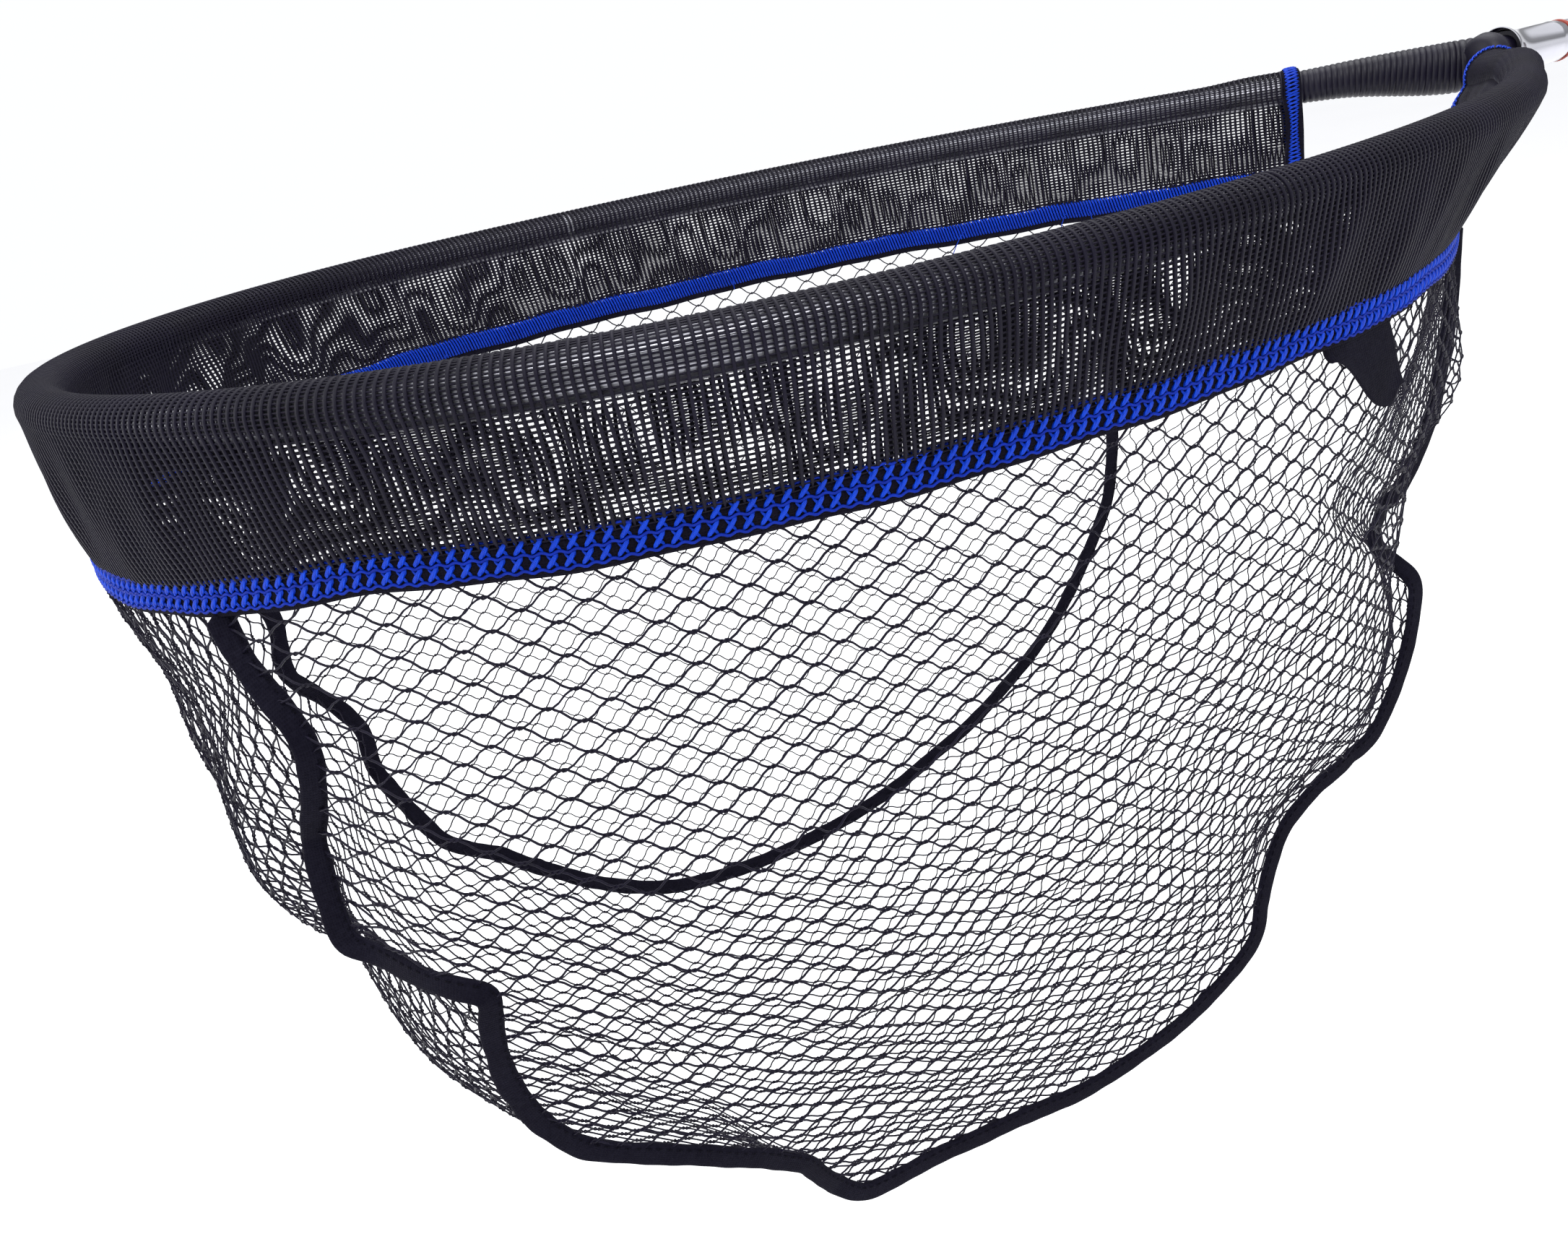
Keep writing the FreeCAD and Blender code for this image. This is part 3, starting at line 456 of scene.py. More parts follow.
def strands(paths, radius, upward, sides=4, kept=None):
    """Round threads along many paths at once.

    paths is (threads, samples, 3) and upward gives a direction that isn't along them. Each sample
    gets a ring of points at radius, turned from the upward direction about the path. kept marks the
    samples that exist; a thread closes to a point at its ends. Returns points, quads and a chart of
    (length along the thread, share round it).
    """
    paths = np.asarray(paths, float)
    threads, samples = paths.shape[:2]
    kept = np.ones((threads, samples), bool) if kept is None else kept
    along = unit(np.gradient(paths, axis=1))
    first = unit(upward - (upward * along).sum(-1, keepdims=True) * along)
    second = np.cross(along, first)
    inside = np.zeros_like(kept)
    inside[:, 1:-1] = kept[:, 1:-1] & kept[:, :-2] & kept[:, 2:]
    girth = np.where(inside, radius, 0.12 * np.asarray(radius))[..., None, None]
    turn = turns(sides) + math.pi / 4
    ring = np.cos(turn)[:, None] * first[:, :, None] + np.sin(turn)[:, None] * second[:, :, None]
    points = paths[:, :, None] + girth * ring
    steps = np.linalg.norm(np.diff(paths, axis=1), axis=-1)
    length = np.concatenate([np.zeros((threads, 1)), np.cumsum(steps, 1)], 1)
    chart = np.stack(np.broadcast_arrays(length[..., None], turn / math.tau), -1)
    quads = grid_quads(samples, sides, closed_columns=True)
    quads = quads[None] + (np.arange(threads) * samples * sides)[:, None, None]
    used = np.repeat((kept[:, 1:] & kept[:, :-1])[:, :, None], sides, 2).reshape(threads, -1)
    return points.reshape(-1, 3), quads[used], chart.reshape(-1, 2)


def trimmed(points, quads, chart):
    """The same mesh without the points that no quad uses."""
    used = np.zeros(len(points), bool)
    used[quads.ravel()] = True
    number = np.cumsum(used) - 1
    return points[used], number[quads], chart[used]


def joined(*meshes):
    """Several (points, quads, chart) in one."""
    starts = np.cumsum([0] + [len(points) for points, _, _ in meshes[:-1]])
    return (np.concatenate([points for points, _, _ in meshes]),
            np.concatenate([quads + start for (_, quads, _), start in zip(meshes, starts)]),
            np.concatenate([chart for _, _, chart in meshes]))


def band_along(path, wide, thick, half_width, half_thick, sides=12, closed=False, squareness=0.55):
    """A soft flat tape along a path: its section is a superellipse, wide one way and thick the other."""
    turn = turns(sides)
    across, deep = squared(np.cos(turn), squareness), squared(np.sin(turn), squareness)
    half_width = np.broadcast_to(half_width, path.shape[:1])[:, None, None]
    half_thick = np.broadcast_to(half_thick, path.shape[:1])[:, None, None]
    points = (path[:, None] + wide[:, None] * across[:, None] * half_width
              + thick[:, None] * deep[:, None] * half_thick)
    if not closed:
        for end in (0, -1):
            points[end] = path[end] + (points[end] - path[end]) * 0.02
    chart = np.stack(np.broadcast_arrays(run_length(path)[:, None], across * half_width[:, 0]), -1)
    quads = grid_quads(len(path), sides, closed_rows=closed, closed_columns=True)
    return points.reshape(-1, 3), quads, chart.reshape(-1, 2)


def turned(profile, start=FERRULE_X, segments=96):
    """A closed outline of (distance along X, radius), in mm, turned about the handle's axis."""
    outline = np.array(profile, float) * MM
    turn = turns(segments)
    ring = np.stack([np.zeros(segments), np.cos(turn), np.sin(turn)], -1)
    along = np.stack([outline[:, 0] + start, 0 * outline[:, 0], 0 * outline[:, 0]], -1)
    points = outline[:, 1][:, None, None] * ring + along[:, None]
    quads = grid_quads(len(outline), segments, closed_rows=True, closed_columns=True)
    return points, quads[:, ::-1], None


def rounded(profile, radius=0.6, steps=4):
    """The outline, in mm, with each corner replaced by a short curve of about this radius."""
    corners = np.array(profile, float)
    before, after = np.roll(corners, 1, 0) - corners, np.roll(corners, -1, 0) - corners
    reach_before = np.linalg.norm(before, axis=1, keepdims=True)
    reach_after = np.linalg.norm(after, axis=1, keepdims=True)
    cut = np.minimum(radius, 0.35 * np.minimum(reach_before, reach_after))
    start, stop = corners + before / reach_before * cut, corners + after / reach_after * cut
    share = np.linspace(0, 1, steps)[None, :, None]
    curve = ((1 - share) ** 2 * start[:, None] + 2 * share * (1 - share) * corners[:, None]
             + share ** 2 * stop[:, None])
    return curve.reshape(-1, 2)


# ------------------------------------------------------------------ shape of the hoop and the bag
TIP_RUN = TIP_RADIUS * TIP_SWEEP
SIDE_RUN = SIDE_RADIUS * (math.pi / 2 - TIP_SWEEP + ARM_ANGLE)
LEAN = math.pi / 2 - TIP_SWEEP
TIP_JOINT = TIP_RADIUS * np.array([1 - math.cos(TIP_SWEEP), math.sin(TIP_SWEEP)])
SIDE_CENTRE = TIP_JOINT + SIDE_RADIUS * np.array([math.sin(LEAN), -math.cos(LEAN)])
ARM_JOINT = SIDE_CENTRE + SIDE_RADIUS * np.array([math.sin(ARM_ANGLE), math.cos(ARM_ANGLE)])
SHIFT = np.array([APEX_X - ARM_JOINT[0] - ARM_JOINT[1] / math.tan(ARM_ANGLE), 0.0])
HALF_LENGTH = TIP_RUN + SIDE_RUN + ARM_JOINT[1] / math.sin(ARM_ANGLE)


def hoop_line(distance):
    """Centre line of the hoop, by distance from the tip: two arcs and a straight arm on each side.

    The distance is negative along the near side. Returns points and outward normals in the plane.
    """
    distance = np.asarray(distance, float)
    far = np.abs(distance)
    turn = np.where(far < TIP_RUN, far / TIP_RADIUS,
                    np.minimum(TIP_SWEEP + (far - TIP_RUN) / SIDE_RADIUS, math.pi / 2 + ARM_ANGLE))
    normal = np.stack([-np.cos(turn), np.sin(turn)], -1)
    on_tip = normal * TIP_RADIUS + [TIP_RADIUS, 0.0]
    on_side = normal * SIDE_RADIUS + SIDE_CENTRE
    past = (far - TIP_RUN - SIDE_RUN)[..., None]
    on_arm = ARM_JOINT + past * [math.cos(ARM_ANGLE), -math.sin(ARM_ANGLE)]
    point = np.where((far < TIP_RUN)[..., None], on_tip, np.where(past < 0, on_side, on_arm)) + SHIFT
    side = np.where(distance < 0, -1.0, 1.0)
    mirror = np.stack([np.ones_like(side), side, np.zeros_like(side)], -1)
    flat = np.zeros(point.shape[:-1] + (1,))
    return (np.concatenate([point, flat], -1) * mirror, np.concatenate([normal, flat], -1) * mirror)


NEAR_DIP_IN, NEAR_DIP_DOWN = 7.5 * MM, 6 * MM


def bowed_line(distance):
    """The hoop's line as it stands under load: the near arm dips in and down, in an S curve."""
    point, normal = hoop_line(distance)
    from_apex = HALF_LENGTH - np.abs(distance)
    near_side = np.where(np.asarray(distance) < 0, 1.0, 0.0)
    dip = smooth(110 * MM - from_apex, 0, 80 * MM) * near_side
    return point - normal * (NEAR_DIP_IN * dip)[..., None] - raised(NEAR_DIP_DOWN * dip), normal


def tip_sag(x_place):
    """How much lower the hem hangs at the tip: an S curve that ends 65 mm from it."""
    return 9 * MM * (1 - smooth(x_place, SHIFT[0], SHIFT[0] + 65 * MM))


def settled(point):
    """Bag points near the hem, lowered with it at the tip. The change dies away downwards."""
    fade = np.exp(-np.maximum(HEM_LOW - point[..., 2], 0) / (50 * MM))
    return point - raised(tip_sag(point[..., 0]) * fade)


def hem_inset(distance):
    """How far inside the hoop the hem hangs: more on the near arm, where the cloth is drawn across."""
    far = np.abs(distance) / HALF_LENGTH
    near_side = 5 * smooth(far, 0.0, 0.2) + 25 * smooth(far, 0.55, 0.88)
    far_side = 12 * smooth(far, 0.03, 0.3)
    return (np.where(np.asarray(distance) < 0, near_side, far_side) - 1) * MM


HEM_STEP = 0.5 * MM


def hem_plan():
    """Closed plan of the hem: the hoop's own line moved in, and a rounded nose between the arms."""
    reach = HALF_LENGTH - 15 * MM
    line = np.linspace(-reach, reach, 1401)
    point, normal = hoop_line(line)
    point = (point - normal * hem_inset(line)[:, None])[:, :2]
    near_inset, far_inset = hem_inset(-HALF_LENGTH), hem_inset(HALF_LENGTH)
    corner = np.array([APEX_X - (near_inset + far_inset) / (2 * math.sin(ARM_ANGLE)),
                       (near_inset - far_inset) / (2 * math.cos(ARM_ANGLE))])
    nose = 12 * MM
    back = nose / math.tan(ARM_ANGLE)
    away = np.linalg.norm(point - corner, axis=1)
    straight = (away > back) & ((point[:, 0] < corner[0] - back * math.cos(ARM_ANGLE)))
    centre = corner - [nose / math.sin(ARM_ANGLE), 0]
    swing = np.linspace(math.pi / 2 - ARM_ANGLE, -(math.pi / 2 - ARM_ANGLE), 24)[1:-1]
    turn = centre + nose * np.stack([np.cos(swing), np.sin(swing)], -1)
    loop = np.concatenate([point[straight], turn])
    closed = np.concatenate([loop, loop[:1]])
    length = run_length(closed)
    station = np.arange(0, length[-1] - HEM_STEP / 2, HEM_STEP)
    return sampled(station, length, closed), station


HEM, HEM_STATION = hem_plan()
HEM_LENGTH = HEM_STATION[-1] + HEM_STEP


def hem_at(station):
    """Point, run and outward direction on the hem at these lengths round it."""
    station = np.asarray(station, float) % HEM_LENGTH
    heading = unit(np.roll(HEM, -6, 0) - np.roll(HEM, 6, 0))
    places, level = np.append(HEM_STATION, HEM_LENGTH), np.zeros_like(station)[..., None]
    point, run = (np.concatenate([sampled(station, places, np.append(table, table[:1], 0)), level], -1)
                  for table in (HEM, heading))
    run = unit(run)
    return point, run, np.stack([-run[..., 1], run[..., 0], level[..., 0]], -1)


def hem_station(x_place, side):
    """Length round the hem of the point at this place along X on the near (-1) or far (1) side."""
    on_side = (HEM[:, 1] * side > 0) & (HEM[:, 0] < -0.27)
    return HEM_STATION[on_side][np.argmin(np.abs(HEM[on_side, 0] - x_place))]


# Each seam is a U: its tips sit on the hem, and its sag at the side of the bag follows a superellipse.
SEAM_TIP_X, SEAM_LOW_X, SEAM_NECK_X = APEX_X - 0.5705, APEX_X - 0.3825, APEX_X - 0.1530
SEAM_DEPTH = 302.8 * MM
SEAM_TOP = HEM_LOW + 2 * MM
SEAM_POWER = 2.4                   # the superellipse's power
PANEL_TOP, PANEL_FALL = HEM_LOW + 3 * MM, 0.965    # a panel's height at its top, and per length of netting
# Share along the seam and how far it strays outwards there, in mm.
STRAY = {
    -1: [(0, 0), (0.009, -1), (0.02, -5), (0.03, -9), (0.046, -6), (0.07, 1), (0.092, 5), (0.112, 8),
         (0.127, -20), (0.147, -13), (0.174, -6), (0.204, -2), (0.234, -2), (0.265, -11), (0.295, -17),
         (0.336, -19), (0.372, -15), (0.405, 1), (0.421, 7), (0.466, 3), (0.5, 5), (0.529, 10), (0.583, 11),
         (0.62, 9), (0.645, 7), (0.67, -6), (0.705, -11), (0.739, -10), (0.774, 7), (0.802, 9), (0.834, 10),
         (0.861, 11), (0.870, -8), (0.878, -20), (0.891, 3), (0.909, 6), (0.93, 4), (0.951, 0), (1, 3)],
    1: [(0, 0), (0.04, -8), (0.071, -12), (0.095, -5), (0.136, -15), (0.155, -17), (0.176, -10), (0.21, -8),
        (0.25, -5), (0.295, -11), (0.35, -10), (0.444, -2), (0.503, 0), (0.63, -1), (0.70, 4), (0.761, 12),
        (0.816, 17), (0.851, 21), (0.888, 17), (0.94, 9), (1, 8)],
}
# Where the near side is drawn in towards the middle: place along X, height, depth of the dent, its size.
DENTS = ((SEAM_NECK_X - 25 * MM, -140 * MM, 24 * MM, 32 * MM),
         (SEAM_NECK_X - 95 * MM, -240 * MM, 14 * MM, 32 * MM))


def ripple(first, second, seeds):
    """A gentle unevenness: the sum of three slow waves over two lengths in metres."""
    total = 0.0
    for number, (pitch_one, pitch_two, phase) in enumerate(seeds):
        angle = first * 2 * math.pi / pitch_one + second * 2 * math.pi / pitch_two + phase
        total = total + np.sin(angle) / (number + 1.5)
    return total


SLOW_WAVES = ((0.113, 0.171, 0.4), (0.071, -0.093, 2.1), (0.047, 0.061, 4.0))


def hem_half(x_place, side):
    """Half the width of the hem at this place along X, on the near (-1) or far (1) side."""
    on_side = (HEM[:, 1] * side > 0) & (HEM[:, 0] < -0.26)
    order = np.argsort(HEM[on_side, 0])
    return np.abs(np.interp(x_place, HEM[on_side, 0][order], HEM[on_side, 1][order]))


def panel_half(x_place, z_place, side):
    """How far a side of the bag stands from the middle plane.

    Straight lines from the hem to the plain seam, a superellipse in the XZ plane, with a belly
    between the two and slow waves over it.
    """
    half_length = np.where(x_place < SEAM_LOW_X, SEAM_LOW_X - SEAM_TIP_X, SEAM_NECK_X - SEAM_LOW_X)
    along = np.clip(np.abs(x_place - SEAM_LOW_X) / half_length, 0, 1)
    deepest = (SEAM_DEPTH + HEM_LOW) * np.maximum((1 - along ** SEAM_POWER) ** (1 / SEAM_POWER), 0.04)
    lift = 1 - np.clip((SEAM_TOP - z_place) / deepest, 0, 1)
    top_half = hem_half(np.clip(x_place, SEAM_TIP_X, SEAM_NECK_X), side)
    to_neck = x_place > SEAM_LOW_X
    low_half = np.where(to_neck, 103 * MM + (hem_half(SEAM_NECK_X, side) - 103 * MM) * smooth(along, 0.5, 1),
                        109 * MM + (hem_half(SEAM_TIP_X, side) - 109 * MM) * smooth(along, 0.85, 1)
                        - 6 * MM * smooth(1 - along, 0, 1))
    deep = smooth(deepest, 0.01, 0.12)
    belly = (9 * MM + 2.5 * MM * ripple(x_place, z_place, SLOW_WAVES)) * deep
    half = low_half + (top_half - low_half) * lift + belly * np.sin(math.pi * lift)
    for dent_x, dent_z, depth, reach in DENTS if side < 0 else ():
        half = half - depth * np.exp(-((x_place - dent_x) ** 2 + (z_place - dent_z) ** 2) / reach ** 2)
    return half


def seam_line(share, side, stray=True):
    """Point on a seam and its outward direction, by share from the tip (0) to the neck (1).

    Each half is a quarter of a superellipse in the XZ plane, and it lies on the side of the bag.
    """
    share = np.asarray(share, float)
    first = share <= 0.5
    angle = np.where(first, share, 1 - share) * math.pi
    along = np.clip(np.cos(angle), 0, 1) ** (2 / SEAM_POWER)
    down = np.clip(np.sin(angle), 0, 1) ** (2 / SEAM_POWER)
    end_x = np.where(first, SEAM_TIP_X, SEAM_NECK_X)
    point_x = SEAM_LOW_X + (end_x - SEAM_LOW_X) * along
    point_z = SEAM_TOP - (SEAM_DEPTH + HEM_LOW) * down
    run_x, run_z = np.gradient(point_x, share), np.gradient(point_z, share)
    steep = np.hypot(run_x, run_z) + 1e-9
    out_x, out_z = run_z / steep, -run_x / steep
    if stray:
        places, offsets = np.array(STRAY[side], float).T
        fine = np.linspace(0, 1, 801)
        window = np.hanning(23)[1:-1] / np.hanning(23).sum()
        wave = np.convolve(np.pad(np.interp(fine, places, offsets), 10, mode="edge"), window, mode="valid")
        moved = np.interp(share, fine, wave) * MM
        point_x, point_z = point_x + out_x * moved, point_z + out_z * moved
    half = panel_half(point_x, point_z, side)
    return settled(np.stack([point_x, side * half, point_z], -1)), np.stack([out_x, 0 * share, out_z], -1)


SHARES = np.linspace(0, 1, 801)
SEAM = {side: seam_line(SHARES, side) for side in (-1, 1)}
SEAM_RUN = run_length((seam_line(SHARES, -1, False)[0] + seam_line(SHARES, 1, False)[0] * [1, -1, 1]) / 2)


def side_panel(x_place, depth, side):
    """A side of the bag by place along X and length down from the hem."""
    z_place = PANEL_TOP - depth * PANEL_FALL
    return settled(np.stack([x_place, side * panel_half(x_place, z_place, side), z_place], -1))


def strip_surface(run, across):
    """The strip between the seams: run is a length along it, across goes from -1 near to 1 far.

    Between the two seam points the strip bulges outwards as a parabola, and towards the neck it
    takes the shape of the hem's pointed end instead.
    """
    share = np.interp(run, SEAM_RUN, SHARES)
    near, far = (sampled(share, SHARES, SEAM[side][0]) for side in (-1, 1))
    outward = unit(sampled(share, SHARES, SEAM[1][1]))
    mix = ((across + 1) / 2)[..., None]
    chord = near * (1 - mix) + far * mix
    station_near, station_far = hem_station(SEAM_NECK_X, -1), hem_station(SEAM_NECK_X, 1)
    if station_near < station_far:
        station_near += HEM_LENGTH
    station = station_near + (station_far - station_near) * (across + 1) / 2
    nose, _, _ = hem_at(station)
    first, last = hem_at(station_near)[0], hem_at(station_far)[0]
    nose = nose - (first * (1 - mix) + last * mix)
    pointed = smooth(share, 0.70, 1.0) ** 1.5
    bulge = (21 + 7 * (1 - smooth(share, 0.25, 0.55))) * MM * (1 - across ** 2) * (1 - pointed)
    uneven = 2.4 * MM * ripple(run, across * 0.1, SLOW_WAVES) * (1 - across ** 2)
    bulge = bulge + uneven * smooth(share, 0, 0.08) * smooth(1 - share, 0, 0.08)
    crease = 3.2 * MM * np.exp(-(across / 0.03) ** 2)
    crease = crease * smooth(share, 0.02, 0.1) * smooth(1 - share, 0.02, 0.1)
    point = chord + outward * (bulge - crease + nose[..., 0] * pointed)[..., None]
    point[..., 1] += nose[..., 1] * pointed
    return point


def strip_half_width(run):
    """Half the length of the strip's cross line at these places along it."""
    across = np.linspace(-1, 1, 33)
    line = strip_surface(np.repeat(run[:, None], 33, 1), np.repeat(across[None], len(run), 0))
    return np.linalg.norm(np.diff(line, axis=1), axis=-1).sum(1) / 2


# ------------------------------------------------------------------ netting
def yarn_grid(along_from, along_to, across_from, across_to):
    """Zigzag yarns of knotless netting, flat: lengths along and across, and the lift off the sheet.

    Each yarn runs along a joint with one neighbour, slants over and runs along a joint with its
    other neighbour. In a joint the two yarns make one full turn about each other.
    """
    half = CELL_LENGTH / 2
    row_gap = CELL_HEIGHT / 2
    rows = np.arange(math.floor(across_from / row_gap), math.ceil(across_to / row_gap) + 1)
    steps = np.arange(math.floor(along_from / half) - 1, math.ceil(along_to / half) + 1)
    turn = np.array([0, 0.25, 0.5, 0.75, 1.0])
    in_joint = (turn - 0.5) * JOINT_LENGTH
    slant = np.array([0.24, 0.76])
    in_slant = JOINT_LENGTH / 2 + (half - JOINT_LENGTH) * np.array([0.30, 0.70])
    offsets = np.concatenate([in_joint, in_slant])
    # Up is +1 where the yarn meets the next row and -1 where it meets the one before.
    up = np.where((rows[:, None] + steps[None]) % 2 == 0, 1.0, -1.0)
    along = steps[None, :, None] * half + offsets[None, None] + 0 * up[..., None]
    joint = up[..., None] * (row_gap / 2 - YARN_WRAP * np.cos(2 * math.pi * turn))
    lift = YARN_WRAP * np.sin(2 * math.pi * turn) * up[..., None]
    slanted = up[..., None] * (row_gap / 2 - YARN_WRAP) * (1 - 2 * slant)
    across = rows[:, None, None] * row_gap + np.concatenate([joint, slanted], -1)
    lift = np.concatenate([lift, np.zeros_like(slanted)], -1)
    return [value.reshape(len(rows), -1) for value in (along, across, lift)]


def surface_normal(surface, first, second):
    """Direction square to a surface of two lengths, from its change over a short step of each."""
    step = 1.5 * MM
    one = surface(first + step, second) - surface(first - step, second)
    two = surface(first, second + step) - surface(first, second - step)
    return unit(np.cross(one, two))


def inside_outline(x_place, z_place, outline):
    """True where a point lies inside the closed outline: it counts the edges above each point."""
    inside = np.zeros(x_place.shape, bool)
    for (x0, z0), (x1, z1) in zip(outline, np.roll(outline, -1, 0)):
        if x0 != x1:
            crosses = (x_place >= min(x0, x1)) & (x_place < max(x0, x1))
            height = z0 + (z1 - z0) * (x_place - x0) / (x1 - x0)
            inside ^= crosses & (height > z_place)
    return inside


def netting(surface, along, across, lift, kept):
    """Yarns laid on a surface of two lengths, each lifted off it where it turns about a neighbour."""
    normal = surface_normal(surface, along, across)
    point = surface(along, across) + normal * lift[..., None]
    return trimmed(*strands(point, YARN, normal, 4, kept))


def make_panels(material):
    """Both sides of the bag: netting that hangs from the hem and is cut along the seam."""
    for word, side in (("near", -1), ("far", 1)):
        seam_points = SEAM[side][0]
        along, across, lift = yarn_grid(SEAM_TIP_X, SEAM_NECK_X, 0, 0.27)
        outline = seam_points[::8, [0, 2]]
        top = np.array([[outline[-1, 0], HEM_LOW + 5 * MM], [outline[0, 0], HEM_LOW + 5 * MM]])
        outline = np.concatenate([outline, top])
        kept = inside_outline(along, PANEL_TOP - across * PANEL_FALL, outline) & (across > -1 * MM)
        panel = netting(lambda x, depth: side_panel(x, depth, side), along, across, lift, kept)
        piece(f"net_panel_{word}", panel, material, "bag_net", f"bag_panel_{word}")


def make_strip(material):
    """The strip of netting round tip, floor and neck, in three lengths. Its yarns run along it."""
    length = SEAM_RUN[-1]
    runs = np.linspace(0, length, 200)
    widths = strip_half_width(runs)
    along, across, lift = yarn_grid(0, length, -0.15, 0.15)
    half = np.interp(along, runs, widths)
    # Rows crowd together at the crease along the middle.
    crowd = across * (1 - 0.55 * np.exp(-(across / (7 * MM)) ** 2))
    kept = (np.abs(crowd) < half) & (along > 0) & (along < length)

    def place(run, offset):
        return strip_surface(run, np.clip(offset / np.interp(run, runs, widths), -1.02, 1.02))

    parts = (("tip", 0, 0.30), ("floor", 0.30, 0.70), ("neck", 0.70, 1.0))
    limits = np.interp([low for _, low, _ in parts] + [1.0], SHARES, SEAM_RUN)
    columns = along[0]
    for number, (word, _, _) in enumerate(parts):
        chosen = (columns >= limits[number] - 4 * MM) & (columns <= limits[number + 1] + 4 * MM)
        strip = netting(place, *(values[:, chosen] for values in (along, crowd, lift, kept)))
        piece(f"net_strip_{word}", strip, material, "bag_net", f"bag_gusset_{word}")


# ------------------------------------------------------------------ seams, hem and stitching
def make_seam_tapes(tape):
    """Folded binding over each seam, with a row of stitches along its middle."""
    for word, side in (("near", -1), ("far", 1)):
        share = np.linspace(0, 1, 700)
        point = sampled(share, SHARES, SEAM[side][0])
        run = unit(np.gradient(point, axis=0))
        thick = np.array([0, side, 0.0]) - run * (run * [0, side, 0]).sum(-1, keepdims=True)
        thick = unit(thick)
        wide = unit(np.cross(run, thick))
        length = run_length(point)
        pucker = 1 + 0.06 * ripple(length, length, ((0.021, 1, 0), (0.0093, 1, 1), (0.034, 1, 2)))
        binding = band_along(point + thick * 0.6 * MM, wide, thick, SEAM_HALF_WIDTH * pucker,
                             1.15 * MM * (2 - pucker), sides=16)
        piece(f"seam_binding_{word}", binding, tape, "black_tape", f"seam_tape_{word}")
        pitch = 3.2 * MM
        station = np.arange(2 * MM, length[-1] - 4 * MM, pitch)
        stitches = []
        for face in (-1, 1):
            share_in = np.linspace(0, 0.72, 5)
            where = station[:, None] + share_in[None] * pitch
            middle, out, edge = (sampled(where, length, table) for table in (point, thick, wide))
            rise = (0.6 + face * (0.95 + 0.30 * np.sin(math.pi * share_in / 0.72))) * MM
            path = middle + out * rise[None, :, None] - edge * 2.2 * MM
            stitches.append(strands(path, 0.22 * MM, out * face, 4))
        piece(f"seam_stitches_{word}", joined(*stitches), tape, "black_tape")


def hem_frame(station, out, rise):
    """Points beside the hem: out from its middle line, and this high, at lengths round it."""
    point, _, outward = hem_at(station)
    height = np.broadcast_to(rise, np.shape(station)) - tip_sag(point[..., 0])
    return point + outward * np.asarray(out)[..., None] + raised(height)


def hem_level(station):
    """The hem's slow waver up and down, at lengths round it."""
    return 0.5 * MM * ripple(station, station, ((0.083, 1, 0), (0.037, 1, 2), (0.19, 1, 1)))


